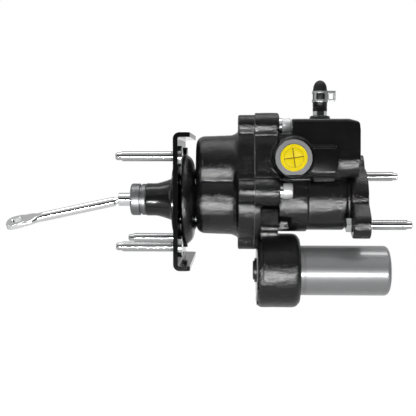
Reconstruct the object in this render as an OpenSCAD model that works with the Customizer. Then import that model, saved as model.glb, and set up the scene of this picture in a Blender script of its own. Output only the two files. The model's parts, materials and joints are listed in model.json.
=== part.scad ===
// Hydraulic brake booster with a reserve motor pump.
// X runs along the pedal axis towards the master cylinder, Z is up, millimetres.
// The origin is where the pedal axis meets the firewall face of the bracket.

/* [Bracket] */
// Thickness of the bracket plate
plate_t = 4.7; // [3.5:0.1:6]
// Width of the bracket across the vehicle
bracket_w = 124; // [118:1:150]
// Height of the bracket above the pedal axis
bracket_up = 69; // [66:1:80]
// Height of the bracket below the pedal axis
bracket_down = 68; // [66:1:80]
// Reach of the turned-over lips from the firewall face
lip_reach = 16.5; // [15:0.5:26]
// Outer radius of the lip bends
bend_r = 6.5; // [6:0.5:9]
// Radius of the lips' free corners
lip_corner_r = 5; // [2:0.5:8]
// Spacing of the firewall studs across the vehicle
stud_dy = 90; // [84:1:94]
// Spacing of the firewall studs in height
stud_dz = 91; // [84:1:94]
// Diameter of the firewall studs
stud_d = 10; // [8:1:12]
// Length of the firewall studs beyond the bracket
stud_len = 59; // [40:1:80]
// Diameter of the stud heads
stud_head_d = 21; // [16:1:24]
// Thickness of the stud heads
stud_head_t = 3.5; // [2:0.5:5]
// Height of the studs' pressed-in shoulders above their threads
shoulder = 0.5; // [0.3:0.1:1]

/* [Input neck] */
// Reach of the neck in front of the firewall face
neck_reach = 49.3; // [44:0.1:56]
// Diameter of the neck's machined end
neck_end_d = 33.8; // [32:0.1:36]
// Length of the neck's machined end
neck_end_len = 10; // [8:0.5:12]
// Diameter of the groove for a dust boot
boot_groove_d = 30.5; // [28:0.1:31.5]
// Width of that groove
boot_groove_w = 6.5; // [4:0.5:8]
// Diameter of the painted part of the neck
neck_d = 34.5; // [33:0.1:38]
// Diameter of the neck where its flare meets its flange
flare_d = 43.5; // [40:0.5:48]
// Diameter of the neck's flange
neck_flange_d = 68; // [64:1:74]
// Thickness of the neck's flange
neck_flange_t = 4.5; // [4:0.1:6]
// Diameter of the spigot that centres the bracket and the end cap
spigot_d = 40; // [36:1:42]
// Depth of the flange's seat in the bracket
seat_t = 0.8; // [0.5:0.1:2]
// Diameter of the neck's open mouth
mouth_d = 22; // [21:0.5:24]
// How much the mouth widens on its radius towards the tip
mouth_flare = 2.5; // [1:0.1:2.7]
// Circle of the neck's flange screws
neck_pcd = 54; // [52:1:56]

/* [Pedal rod and plunger] */
// Diameter of the input plunger
plunger_d = 14; // [13:0.1:15]
// How far the plunger stands out of the neck at rest
plunger_out = 13.7; // [10:0.1:18]
// Stroke of the pedal rod
pedal_stroke = 28; // [20:1:28]
// Stroke of the power piston
piston_stroke = 26.6; // [19:0.1:27]
// Diameter of the rod's ball end
ball_d = 10; // [9:0.1:10.4]
// Depth of the ball's centre inside the plunger
ball_depth = 6; // [5:0.1:7]
// Length of the rod from the ball's centre to the tip
rod_len = 130; // [110:1:160]
// Diameter of the rod's shank
rod_d = 10; // [9:0.5:11]
// Diameter of the rod's thin neck behind the ball
rod_neck_d = 6.5; // [5:0.1:7]
// Angle at which the free rod hangs below the pedal axis
rod_droop = 12.1; // [8:0.1:12.5]
// Width of the rod's flat eye
eye_w = 23; // [20:1:26]
// Thickness of the rod's flat eye
eye_t = 5.6; // [5:0.1:7]
// Diameter of the pedal pin hole
eye_bore_d = 12.2; // [8:0.1:13]
// Roll of the eye about the rod
eye_roll = 22; // [0:1:45]

/* [Power cylinder] */
// Length of the end cap between the bracket and the power cylinder
cap_len = 15.8; // [12:0.1:20]
// Diameter of the end cap on the bracket
cap_d = 96; // [88:1:100]
// Length of the power cylinder up to its flange
cyl_len = 43.5; // [40:0.5:50]
// Radius of the lower lobe of the power cylinder
low_lobe_r = 36; // [34:0.5:38]
// Radius of the upper lobe of the power cylinder
top_lobe_r = 33; // [30:0.5:34]
// Height of the upper lobe's centre above the pedal axis
top_lobe_z = 34; // [30:0.5:38]
// Thickness of the cylinder's end wall
end_wall_t = 9.5; // [9:0.5:12]
// Diameter of the power piston's bore
piston_bore_d = 50; // [46:0.5:52]
// Length of the power piston
piston_len = 19; // [17:0.5:20]

/* [Housing flanges] */
// Thickness of the power cylinder's flange
flange1_t = 16.6; // [14:0.1:20]
// Thickness of the valve body's flange
flange2_t = 24.6; // [22:0.1:30]
// Thickness of the gasket between them
gasket_t = 0.8; // [0.5:0.1:2]
// Radius of the ears on the power cylinder
ear1_r = 11.5; // [10.5:0.1:12.5]
// Radius of the ears on the valve body
ear2_r = 13.5; // [12.5:0.1:14.5]
// Distance of the top bolts from the middle plane
top_bolt_y = 20; // [18:1:24]
// Height of the top bolts
top_bolt_z = 76.7; // [75:0.1:80]
// Distance of the side bolts from the middle plane
side_bolt_y = 47; // [46:1:52]
// Height of the side bolts
side_bolt_z = 10.8; // [6:0.1:12]
// Diameter of the housing bolts
bolt_d = 10; // [8:1:11]

/* [Valve body] */
// Length of the output barrel's first, wider part
barrel_len = 30.7; // [30:0.1:36]
// Radius of the output barrel's first part
barrel_r = 33.7; // [31:0.1:35]
// Radius of the spring chamber
chamber_r = 18; // [17.5:0.1:19]
// Height of the valve block's top
block_top = 82.7; // [80:0.1:88]
// Height of the valve block's underside
block_bottom = 23.6; // [22:0.1:24]
// Length of the valve block
block_len = 79.5; // [75:0.5:86]
// Half the width of the valve block
block_half_w = 50; // [46:0.5:52]
// Radius of the block's lower edges
block_round = 15; // [10:0.5:18]
// Distance of the pressure ports behind the flange
port_x = 12.5; // [11:0.1:15]
// Height of the pressure ports
port_z = 43.9; // [42:0.1:46]
// Distance of the pressure ports' faces from the middle plane
port_y = 60; // [57:0.5:63]
// Diameter of the ports' machined faces
port_face_d = 36.4; // [33:0.1:38]
// Diameter of the port thread
port_bore_d = 22; // [18:0.5:23]
// Diameter of the port plugs' heads
plug_head_d = 26.6; // [25:0.1:30]
// Diameter across a port seal
seal_d = 12.8; // [12:0.1:14]
// Diameter of the bore for the flow switch piston
flow_bore_d = 18; // [16:0.5:20]
// Height of that bore
flow_z = 52; // [50:0.5:54]
// Travel of the flow switch piston
flow_travel = 6; // [3:0.5:8]

/* [Return port] */
// Distance of the return port behind the flange
return_x = 44; // [40:0.5:50]
// Diameter of the return boss
return_boss_d = 21.4; // [20:0.1:24]
// Height of the return boss above the block
return_boss_h = 5.8; // [4:0.1:8]
// Diameter of the return tube
return_tube_d = 10; // [8:0.5:11]
// Outer diameter of the rubber cap
rubber_cap_d = 15.2; // [14:0.1:17]
// Length of the rubber cap
rubber_cap_len = 32.4; // [28:0.1:40]
// Height of the spring clamp's band
clamp_h = 14; // [12:0.5:16]

/* [Output side] */
// Radius of the output housing's tube
tube_r = 32; // [30:0.5:33.5]
// Length of that tube up to its flange
tube_len = 42.8; // [40:0.1:52]
// Thickness of the master cylinder flange
out_flange_t = 17.5; // [12:0.5:20]
// Diameter of the master cylinder's pilot bore
pilot_d = 42; // [38:0.5:44]
// Depth of the pilot bore
pilot_depth = 14; // [10:0.5:16]
// Half the spacing of the master cylinder studs across the vehicle
out_stud_y = 36; // [35:0.5:40]
// Half the spacing of those studs in height
out_stud_z = 23.7; // [20:0.1:26]
// How far those studs stand out of the flange
out_stud_len = 42.5; // [30:0.5:50]
// Diameter of the piston stem
stem_d = 18; // [16:0.5:19]
// Diameter of the output rod
out_rod_d = 10; // [8:0.5:11]

/* [Pump] */
// Depth of the motor's axis below the pedal axis
motor_drop = 75.4; // [74:0.1:80]
// Radius of the pump housing
pump_r = 39.3; // [38:0.1:40]
// Thickness of the pump cover
cover_t = 6; // [5:0.5:7]
// Length of the pump housing behind its cover
pump_len = 39; // [38:0.5:44]
// Half the width of the saddle under the barrel
saddle_half_w = 30; // [29:0.5:32]
// Teeth on each pump gear
teeth = 12; // [11:1:13]
// Tooth module of the pump gears
tooth_module = 1.5; // [1.4:0.05:1.6]
// Width of the pump gears
gear_w = 14; // [10:0.5:15]
// Diameter of the pump shafts
shaft_d = 8; // [7:0.1:8.5]

/* [Motor] */
// Outer diameter of the motor can
can_d = 52.8; // [50:0.1:56]
// Length of the motor can
can_len = 95.5; // [90:0.5:110]
// Wall of the motor can
can_wall = 2; // [1.5:0.1:2.5]
// Diameter of the armature
armature_d = 38.8; // [36:0.1:39.4]
// Slots in the armature
slots = 10; // [8:1:12]
// Diameter of the commutator
commutator_d = 20; // [18:0.5:22]

/* [Fits] */
// Running clearance on a radius
run_gap = 0.05; // [0.03:0.01:0.08]
// Gap between a seated soft piece or spring and its seat
seat_gap = 0.15; // [0.1:0.05:0.25]
// Clearance on the radius of a screw hole
hole_gap = 0.3; // [0.2:0.05:0.4]

/* [Hidden] */
// Places along the pedal axis, from the firewall face to the output flange
cap_x = plate_t;
cyl_x = cap_x + cap_len;
flange1_x = cyl_x + cyl_len;
gasket_x = flange1_x + flange1_t;
flange2_x = gasket_x + gasket_t;
block_x = flange2_x + flange2_t;
tube_x = block_x + barrel_len;
out_flange_x = tube_x + tube_len;
out_face_x = out_flange_x + out_flange_t;

// Neck
neck_tip_x = -neck_reach;
groove_x = neck_tip_x + neck_end_len;
painted_x = groove_x + boot_groove_w;
flare_x = painted_x + 10;
bush_r = 9;
neck_screw_d = 6;

// Plunger and rod
plunger_tip_x = neck_tip_x - plunger_out;
pivot_x = plunger_tip_x + ball_depth;
bush_x = pivot_x + pedal_stroke + ball_d / 2;
plunger_end_x = cyl_x + end_wall_t - 4;
nose_d = 9;
ring_t = 1;
rod_taper_s = 24;
eye_s = rod_len - eye_w / 2;

// Power piston and stem
bore_x = cyl_x + end_wall_t;
piston_x = gasket_x - 1 - piston_stroke - piston_len;
piston_end_x = piston_x + piston_len;
nose_len = piston_x + 7 - plunger_end_x;
piston_seal_w = 5;
piston_seal_depth = 3;
socket_depth = 7;
wall_x = tube_x - 16.7;
out_rod_end_x = out_face_x - pilot_depth - 0.5;
stem_end_x = out_rod_end_x - piston_stroke;
out_socket_depth = 13;
bush_len = 10;
bush_wall = 3;
seal_r = 14;
spring_wire_r = 1.6;

// Outlines of the flanges
core_r = 43;
core_top_r = 35;
core_top_z = 48;
foot_z = -40;
foot_r = 13;
ledge_z = -4;
plate2_t = 6.6;
inner_barrel_r = 25;
recess_len = 11.6;
recess_z = 17;
rib_half_w = 12;
ears = [for (s = [-1, 1]) each [[s * top_bolt_y, top_bolt_z], [s * side_bolt_y, side_bolt_z]]];
bolt_head_d = bolt_d + 5.6;
bolt_head_len = 9.5;
washer_t = 3;
bolt_grip = flange2_t + gasket_t + flange1_t - 3;

// Valve block
notch_x = 13.5;
notch_z = top_bolt_z - bolt_head_d / 2 - 0.5;
cast_boss_r = port_face_d / 2 + 2;
face_step = 2.5;
port_depth = 15;
seal_wire_r = 1.1;
gallery_r = 4;
pad_x0 = 28;
pad_x1 = 55.5;
pad_z0 = 28;
pad_z1 = 54.5;
pad_h = 4;
block_end_x = block_x + block_len;
web_half_w = 26;
undercut_len = 4.5;
undercut_r = tube_r - 2.5;
web_gap = undercut_len + 0.5;
out_stud_r = 5;
out_hex_r = 8.1;
out_hex_t = 6.5;
stud_pocket_r = out_hex_r + 1.5;
hub_r = tube_r + 1;
out_waist_r = 20;
out_ear_r = 14;
out_rib_r = 13;
rib_top = [11, tube_r + 2];
flow_x = block_x + 8;
flow_piston_x = block_x + 20;
flow_piston_len = 20;
flow_plug_len = 12;
flow_seat_x = flow_piston_x + 6;
flow_plug_x = block_end_x - 1 - flow_plug_len;

// Return port
boss_top_z = block_top + return_boss_h;
fitting_h = 4.3;
cap_z = boss_top_z + fitting_h;
clamp_z = cap_z + 7.7;
clamp_t = 0.7;

// Pump and motor
cover_x = block_x - 22;
pump_x = cover_x + cover_t;
pump_end_x = pump_x + pump_len;
pitch_r = teeth * tooth_module / 2;
tip_r = pitch_r + 0.95 * tooth_module;
root_r = pitch_r - 1.2 * tooth_module;
idler_y = 2 * pitch_r;
pocket_r = tip_r + 0.2;
saddle_x = flange2_x + plate2_t;
saddle_end_x = block_x;
saddle_top_z = -7;
check_x = (saddle_x + saddle_end_x) / 2;
check_y = pitch_r;
check_bore_r = 6.2;
check_ball_r = 4.5;
check_hole_r = 3;
check_seat_z = -46;
check_seat_t = 4;
check_ball_z = check_seat_z + sqrt(pow(check_ball_r, 2) - pow(check_hole_r, 2)) + run_gap;
barrel_under_z = -sqrt(pow(inner_barrel_r, 2) - pow(check_y, 2));
neck_fix_y = 23;
neck_fix_z = -24;
saddle_foot_z = -32;
pump_neck_w = 17;
pump_round = 7;
cover_round = 5.5;
cover_screw_r = pump_r - 6.3;
can_r = can_d / 2;
can_in_r = can_r - can_wall;
can_end_x = pump_end_x + can_len;
end_bell_t = 3.2;
rear_room = 12.5;
can_bend_r = 4.5;
can_dome = 1.2;
bearing_r = 13;
bearing_t = 8;
lip_seal_r = 11;
lip_seal_t = 7;
core_x = pump_end_x + 15;
commutator_len = 12;
winding_len = 9;
core_len = can_len - 15 - winding_len - 1 - commutator_len - rear_room;
magnet_x = core_x - 4;
magnet_len = core_len + 8;
magnet_in_r = armature_d / 2 + 0.6;
commutator_x = core_x + core_len + winding_len + 1;
brush_w = 6;
brush_plate_x = commutator_x + 8.5;
rear_bush_r = 7;
rear_bush_x = can_end_x - 10;
cover_screws = [for (a = [200, 340, 248, 292]) cover_screw_r * [cos(a), sin(a)]];

// Points of an arc
function arc(c, r, a0, a1, n = 8) = [for (i = [0:n]) let (t = a0 + (a1 - a0) * i / n)
    [c.x + r * cos(t), c.y + r * sin(t)]];

// Outline of two circles and their common tangents
function lobes(c1, r1, c2, r2, n = 16) =
    let (v = c2 - c1, a = atan2(v.y, v.x), b = acos((r1 - r2) / norm(v)))
    concat(arc(c1, r1, a + b, a + 360 - b, n), arc(c2, r2, a - b, a + b, n));

// Rectangle with round corners
function round_box(x0, y0, x1, y1, r, n = 6) = concat(
    arc([x1 - r, y1 - r], r, 0, 90, n), arc([x0 + r, y1 - r], r, 90, 180, n),
    arc([x0 + r, y0 + r], r, 180, 270, n), arc([x1 - r, y0 + r], r, 270, 360, n));

// Outline of a pump gear
function gear_points(turn) = [for (i = [0:teeth - 1]) each
    let (step = 360 / teeth, m = i * step + turn, t = 0.21 * step) [
    root_r * [cos(m - 1.5 * t), sin(m - 1.5 * t)], pitch_r * [cos(m - t), sin(m - t)],
    tip_r * [cos(m - 0.4 * t), sin(m - 0.4 * t)], tip_r * [cos(m + 0.4 * t), sin(m + 0.4 * t)],
    pitch_r * [cos(m + t), sin(m + t)], root_r * [cos(m + 1.5 * t), sin(m + 1.5 * t)]]];

// Extrudes an outline drawn in Y and Z along X
module along_x(x0, len) {
    translate([x0, 0, 0]) rotate([90, 0, 90]) linear_extrude(len) children();
}

// Extrudes an outline drawn in X and Z along Y
module along_y(y0, len) {
    translate([0, y0 + len, 0]) rotate([90, 0, 0]) linear_extrude(len) children();
}

// Round bar along X
module bar(x0, x1, r, y = 0, z = 0) {
    translate([x0, y, z]) rotate([0, 90, 0]) cylinder(h = x1 - x0, r = r, $fn = 96);
}

// Tube along X
module tube(x0, x1, r_out, r_in, y = 0, z = 0) {
    difference() {
        bar(x0, x1, r_out, y, z);
        bar(x0 - 1, x1 + 1, r_in, y, z);
    }
}

// Round bar along Y
module cross_bar(y0, y1, r, x, z) {
    translate([x, y0, z]) rotate([-90, 0, 0]) cylinder(h = y1 - y0, r = r, $fn = 96);
}

// Solid turned about X from radius and X pairs
module turned(points, z = 0) {
    translate([0, 0, z]) rotate([0, 90, 0]) rotate_extrude($fn = 96) polygon(points);
}

// Countersunk screw along X with its flat head at x0
module flat_screw(x0, len, d, y, z) {
    translate([x0, y, z]) rotate([0, 90, 0]) difference() {
        union() {
            cylinder(h = d / 2, r1 = d, r2 = d / 2, $fn = 48);
            cylinder(h = len, r = d / 2, $fn = 48);
        }
        translate([0, 0, -1]) cylinder(h = 1 + d / 3, r = d / 3, $fn = 6);
    }
}

// Hole for that screw
module flat_screw_hole(x0, len, d, y, z) {
    translate([x0, y, z]) rotate([0, 90, 0]) {
        cylinder(h = d / 2 + hole_gap, r1 = d + hole_gap, r2 = d / 2, $fn = 48);
        cylinder(h = len + hole_gap, r = d / 2 + hole_gap / 2, $fn = 48);
    }
}

// Coil spring standing on z = 0
module coil(len, mean_r, wire_r, turns, sides = 6, steps = 16) {
    n = turns * steps;
    rise = len - 2 * wire_r;
    points = [for (i = [0:n]) let (a = 360 * i / steps, z = wire_r + rise * i / n)
        for (k = [0:sides - 1]) let (u = 360 * k / sides, r = mean_r + wire_r * cos(u))
        [r * cos(a), r * sin(a), z + wire_r * sin(u)]];
    sides_faces = [for (i = [0:n - 1], k = [0:sides - 1]) let (j = (k + 1) % sides, p = i * sides)
        each [[p + k, p + sides + k, p + sides + j], [p + k, p + sides + j, p + j]]];
    polyhedron(points, concat([[for (k = [0:sides - 1]) k]], sides_faces,
        [[for (k = [0:sides - 1]) n * sides + sides - 1 - k]]), convexity = 10);
}

// Coil spring along X between two seats
module coil_x(x0, x1, mean_r, wire_r, turns, z = 0) {
    translate([x0 + seat_gap, 0, z]) rotate([0, 90, 0])
        coil(x1 - x0 - 2 * seat_gap, mean_r, wire_r, turns);
}

// Outline that both housing flanges share
module flange_outline(ear_r) {
    polygon(lobes([0, 0], core_r, [0, core_top_z], core_top_r, 24));
    polygon(lobes([0, 0], foot_r, [0, foot_z], foot_r));
    for (e = ears) polygon(lobes([0, e.y > core_top_z ? core_top_z : 0], ear_r - 1, e, ear_r, 20));
}

module mounting_bracket() color("#202224") difference() {
    intersection() {
        along_y(-bracket_w / 2, bracket_w) polygon(concat(
            [[lip_reach, bracket_up]],
            arc([bend_r, bracket_up - bend_r], bend_r, 90, 180),
            arc([bend_r, bend_r - bracket_down], bend_r, 180, 270),
            [[lip_reach, -bracket_down], [lip_reach, plate_t - bracket_down]],
            arc([bend_r, bend_r - bracket_down], bend_r - plate_t, 270, 180),
            arc([bend_r, bracket_up - bend_r], bend_r - plate_t, 180, 90),
            [[lip_reach, bracket_up - plate_t]]));
        translate([0, 0, -bracket_down - 1]) linear_extrude(bracket_up + bracket_down + 2)
            polygon(concat([[-1, -bracket_w / 2]],
                arc([lip_reach - lip_corner_r, lip_corner_r - bracket_w / 2], lip_corner_r, -90, 0),
                arc([lip_reach - lip_corner_r, bracket_w / 2 - lip_corner_r], lip_corner_r, 0, 90),
                [[-1, bracket_w / 2]]));
    }
    bar(-1, plate_t + 1, spigot_d / 2 + run_gap);
    bar(-1, seat_t, neck_flange_d / 2 + hole_gap);
    for (y = [-1, 1], z = [-1, 1])
        bar(-1, plate_t + 1, stud_d / 2 + shoulder + run_gap, y * stud_dy / 2, z * stud_dz / 2);
    for (a = [45:90:315])
        bar(-1, plate_t + 1, neck_screw_d / 2 + hole_gap, neck_pcd / 2 * cos(a), neck_pcd / 2 * sin(a));
}

module bracket_studs() color("#b9bbbd") for (y = [-1, 1], z = [-1, 1])
    translate([0, y * stud_dy / 2, z * stud_dz / 2]) turned([[0, -stud_len],
        [stud_d * 0.28, -stud_len], [stud_d * 0.39, -stud_len + 1.2],
        [stud_d * 0.39, -stud_len + 6], [stud_d / 2, -stud_len + 7], [stud_d / 2, 0],
        [stud_d / 2 + shoulder, 0], [stud_d / 2 + shoulder, plate_t],
        [stud_head_d / 2, plate_t], [stud_head_d / 2, plate_t + stud_head_t - 0.8],
        [stud_head_d / 2 - 0.8, plate_t + stud_head_t], [0, plate_t + stud_head_t]]);

module input_neck() color("#3a3c3e") difference() {
    turned(concat([[mouth_d / 2 + mouth_flare, neck_tip_x]],
        arc([neck_end_d / 2 - 2.5, -neck_tip_x - 2.5], 2.5, 90, 0, 5) * [[1, 0], [0, -1]],
        [[neck_end_d / 2, groove_x], [boot_groove_d / 2, groove_x + 0.4],
        [boot_groove_d / 2, painted_x - 0.8], [neck_d / 2 - 1.2, painted_x],
        [neck_d / 2, painted_x + 1.2], [neck_d / 2, flare_x]],
        [for (i = [1:6]) let (k = i / 6)
            [neck_d / 2 + (flare_d - neck_d) / 2 * pow(k, 1.3), flare_x + k * (-neck_flange_t - 2.5 - flare_x)]],
        [[flare_d / 2 + 1.2, -neck_flange_t - 0.8], [flare_d / 2 + 3, -neck_flange_t],
        [neck_flange_d / 2 - 1, -neck_flange_t], [neck_flange_d / 2, -neck_flange_t + 1],
        [neck_flange_d / 2, seat_t], [spigot_d / 2, seat_t], [spigot_d / 2, cyl_x],
        [bush_r + run_gap, cyl_x], [bush_r + run_gap, bush_x], [mouth_d / 2, bush_x],
        [mouth_d / 2, groove_x]]));
    for (a = [45:90:315]) flat_screw_hole(-neck_flange_t, cyl_x + 12, neck_screw_d,
        neck_pcd / 2 * cos(a), neck_pcd / 2 * sin(a));
}

module neck_screws() color("#8c8f92") for (a = [45:90:315])
    flat_screw(-neck_flange_t, neck_flange_t + cyl_x + end_wall_t - 2, neck_screw_d,
        neck_pcd / 2 * cos(a), neck_pcd / 2 * sin(a));

module neck_bush() color("#a98545") tube(bush_x + run_gap, cyl_x - 0.5, bush_r, plunger_d / 2 + run_gap);

module end_cap() color("#1c1d1f") difference() {
    turned(concat([[spigot_d / 2 + run_gap, cap_x]],
        [for (i = [0:8]) let (t = 90 * i / 8)
            [cap_d / 2 - (cap_d / 2 - low_lobe_r + 2.7) * (1 - cos(t)),
            cap_x + 2 + (cap_len - 4) * sin(t)]],
        [[low_lobe_r - 5, cyl_x - 1.8], [low_lobe_r - 5, cyl_x], [spigot_d / 2 + run_gap, cyl_x]]));
    for (a = [45:90:315]) bar(cap_x - 1, cyl_x + 1, neck_screw_d / 2 + hole_gap,
        neck_pcd / 2 * cos(a), neck_pcd / 2 * sin(a));
    for (y = [-1, 1], z = [-1, 1]) bar(cap_x - 1, cap_x + stud_head_t + hole_gap,
        stud_head_d / 2 + hole_gap, y * stud_dy / 2, z * stud_dz / 2);
}

module plunger_seal() color("#151515")
    tube(cyl_x + run_gap, cyl_x + 5, bush_r + 2, plunger_d / 2 + run_gap);

module cylinder_slice(x, inset) {
    along_x(x, 0.01) polygon(lobes([0, 0], low_lobe_r - inset, [0, top_lobe_z], top_lobe_r - inset, 20));
}

module power_cylinder() color("#161718") difference() {
    union() {
        hull() {
            cylinder_slice(cyl_x, 7);
            cylinder_slice(cyl_x + 1, 4.2);
            cylinder_slice(cyl_x + 3, 1.8);
            cylinder_slice(cyl_x + 7, 0);
            cylinder_slice(flange1_x + 1, -1.3);
        }
        hull() {
            cylinder_slice(flange1_x - 6, -1);
            cylinder_slice(flange1_x + 1, -4.5);
        }
        along_x(flange1_x, flange1_t) flange_outline(ear1_r);
    }
    bar(cyl_x - 1, bore_x + 1, plunger_d / 2 + hole_gap);
    bar(cyl_x - 1, cyl_x + 5 + run_gap, bush_r + 2 + run_gap);
    bar(bore_x, gasket_x + 1, piston_bore_d / 2);
    for (a = [45:90:315]) bar(cyl_x - 1, bore_x - 1, neck_screw_d / 2 + run_gap,
        neck_pcd / 2 * cos(a), neck_pcd / 2 * sin(a));
    for (e = ears) bar(flange1_x + 2, gasket_x + 1, bolt_d / 2 + run_gap, e.x, e.y);
    // Pressure passage through the upper lobe
    bar(bore_x + 4, gasket_x + 1, gallery_r, 0, top_lobe_z + 4);
}

module housing_gasket() color("#4d4a44") difference() {
    along_x(gasket_x, gasket_t) flange_outline(ear1_r);
    bar(gasket_x - 1, flange2_x + 1, piston_bore_d / 2 + 0.5);
    for (e = ears) bar(gasket_x - 1, flange2_x + 1, bolt_d / 2 + hole_gap, e.x, e.y);
    bar(gasket_x - 1, flange2_x + 1, gallery_r + 0.5, 0, top_lobe_z + 4);
}

module housing_bolts() color("#c4c6c8") for (e = ears) translate([block_x + washer_t, e.x, e.y])
    difference() {
        turned([[0, -washer_t - bolt_grip], [bolt_d / 2 - 1, -washer_t - bolt_grip],
            [bolt_d / 2, 1 - washer_t - bolt_grip], [bolt_d / 2, 0], [bolt_head_d / 2, 0],
            [bolt_head_d / 2, bolt_head_len - 1], [bolt_head_d / 2 - 1, bolt_head_len], [0, bolt_head_len]]);
        translate([bolt_head_len - 5, 0, 0]) rotate([0, 90, 0]) cylinder(h = 6, r = bolt_d * 0.46, $fn = 6);
    }

module lock_washers() color("#aeb0b2") for (e = ears) difference() {
    tube(block_x, block_x + washer_t, bolt_d / 2 + 3.2, bolt_d / 2 + hole_gap, e.x, e.y);
    translate([block_x + washer_t / 2, e.x, e.y + bolt_d / 2 + 2]) rotate([0, 25, 0])
        cube([2 * washer_t, 1, 5], center = true);
}

// Side view of the valve block: notched over the top bolts and sloped at the far corner
module block_side() {
    polygon([[block_x - 1, block_bottom - 8], [block_x - 1, notch_z], [block_x + notch_x, notch_z],
        [block_x + notch_x, block_top], [block_end_x - 12, block_top], [block_end_x - 3, block_top - 2.4],
        [block_end_x - 0.6, block_top - 4.4], [block_end_x + 0.6, block_bottom], [block_end_x, block_bottom - 8]]);
}

// Front view of the valve block: flat cheeks with a large lower round
module block_front() {
    polygon(concat(arc([block_half_w - 3, block_top - 3], 3, 0, 90, 4),
        arc([3 - block_half_w, block_top - 3], 3, 90, 180, 4),
        arc([block_round - block_half_w, block_bottom + block_round], block_round, 180, 270, 10),
        arc([block_half_w - block_round, block_bottom + block_round], block_round, 270, 360, 10)));
}

module port_boss(side) mirror([0, side < 0 ? 1 : 0, 0]) {
    cross_bar(0, port_y - face_step, cast_boss_r, block_x + port_x, port_z);
    intersection() {
        cross_bar(0, port_y, port_face_d / 2, block_x + port_x, port_z);
        translate([block_x - 20, 0, port_z - port_face_d * 0.448]) cube([80, port_y + 1, 60]);
    }
}

module port_bore(side) mirror([0, side < 0 ? 1 : 0, 0]) {
    cross_bar(port_y - port_depth, port_y + 1, port_bore_d / 2, block_x + port_x, port_z);
    cross_bar(port_y - port_depth - 2.4, port_y, seal_d / 2 + 0.2, block_x + port_x, port_z);
    cross_bar(-1, port_y - port_depth, gallery_r, block_x + port_x, port_z);
}

module cheek_pad() along_y(-block_half_w - pad_h, pad_h + 2)
    polygon(round_box(block_x + port_x, pad_z0, block_x + pad_x1, pad_z1, 2.5));

module valve_body() color("#1d1e20") difference() {
    union() {
        along_x(flange2_x, plate2_t) flange_outline(ear2_r);
        intersection() {
            along_x(flange2_x, flange2_t) flange_outline(ear2_r);
            translate([flange2_x, -80, ledge_z]) cube([flange2_t, 160, 120]);
        }
        bar(flange2_x, block_x + 1, inner_barrel_r);
        bar(block_x, tube_x, barrel_r);
        intersection() {
            along_x(block_x - 1, block_len + 2) block_front();
            along_y(-block_half_w - 1, 2 * block_half_w + 2) block_side();
        }
        along_x(block_x, out_flange_x - web_gap - block_x) polygon([[-web_half_w, 0], [web_half_w, 0],
            [web_half_w, block_bottom + 2], [-web_half_w, block_bottom + 2]]);
        for (s = [-1, 1]) port_boss(s);
        cheek_pad();
        translate([block_x + pad_x0 + 6, -block_half_w + 12, block_bottom - 4]) cube([22, 20, 8]);
        translate([block_x + return_x, 0, block_top - 1])
            cylinder(h = return_boss_h + 1, r = return_boss_d / 2, $fn = 64);
        translate([block_x + return_x, 0, block_top - 1])
            cylinder(h = 3.2, r1 = return_boss_d / 2 + 3, r2 = return_boss_d / 2, $fn = 64);
    }
    bar(flange2_x - 1, wall_x, chamber_r);
    bar(wall_x - 1, tube_x + 1, stem_d / 2 + bush_wall + run_gap);
    bar(tube_x - 6, tube_x + 1, seal_r + run_gap);
    bar(tube_x - 0.2, block_end_x + 2, tube_r + hole_gap);
    // Recesses under the barrel beside the pump's saddle, with a rib between them
    difference() {
        translate([block_x, -barrel_r, -barrel_r - 1]) cube([recess_len, 2 * barrel_r, barrel_r - recess_z + 1]);
        bar(block_x - 1, block_x + recess_len + 1, inner_barrel_r);
        translate([block_x - 1, -rib_half_w, -barrel_r - 1]) cube([recess_len + 2, 2 * rib_half_w, barrel_r]);
    }
    for (e = ears) bar(flange2_x - 1, block_x + 1, bolt_d / 2 + hole_gap, e.x, e.y);
    for (s = [-1, 1]) port_bore(s);
    // Scallop around the head of the upper flange stud
    bar(out_flange_x - 8, block_end_x + 2, stud_pocket_r, out_stud_y, out_stud_z);
    bar(flow_x, block_end_x + 2, flow_bore_d / 2, 0, flow_z);
    translate([block_x + return_x, 0, flow_z]) cylinder(h = 60, r = gallery_r, $fn = 48);
    translate([block_x + return_x, 0, boss_top_z - 12]) cylinder(h = 13, r = 6 + run_gap, $fn = 64);
    bar(flange2_x - 1, flow_x + 1, gallery_r, 0, top_lobe_z + 4 + 8);
    for (s = [-1, 1]) flat_screw_hole(flange2_x, plate2_t + 4, 8, s * neck_fix_y, neck_fix_z);
    translate([check_x, check_y, -inner_barrel_r - 1]) cylinder(h = inner_barrel_r, r = 2.5, $fn = 32);
    // Seat of the flow switch socket on the far cheek
    cross_bar(block_half_w - 6, block_half_w + 1, 8 + run_gap, block_x + return_x, flow_z + 14);
}

module stem_bush() color("#b08d4b")
    tube(wall_x + run_gap, wall_x + bush_len, stem_d / 2 + bush_wall, stem_d / 2 + run_gap);

module stem_seal() color("#151515")
    tube(tube_x - 6 + run_gap, tube_x - run_gap, seal_r, stem_d / 2 + run_gap);

// Front view of the master cylinder flange: two ears on a round hub, with a rib on its top
module out_flange_outline() {
    circle(r = hub_r, $fn = 96);
    for (s = [-1, 1]) polygon(lobes([0, 0], out_waist_r, s * [out_stud_y, out_stud_z], out_ear_r, 24));
    polygon(lobes([0, 0], out_waist_r, rib_top, out_rib_r, 20));
    polygon(lobes(rib_top, out_rib_r, [out_stud_y, out_stud_z], out_ear_r, 20));
}

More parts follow.
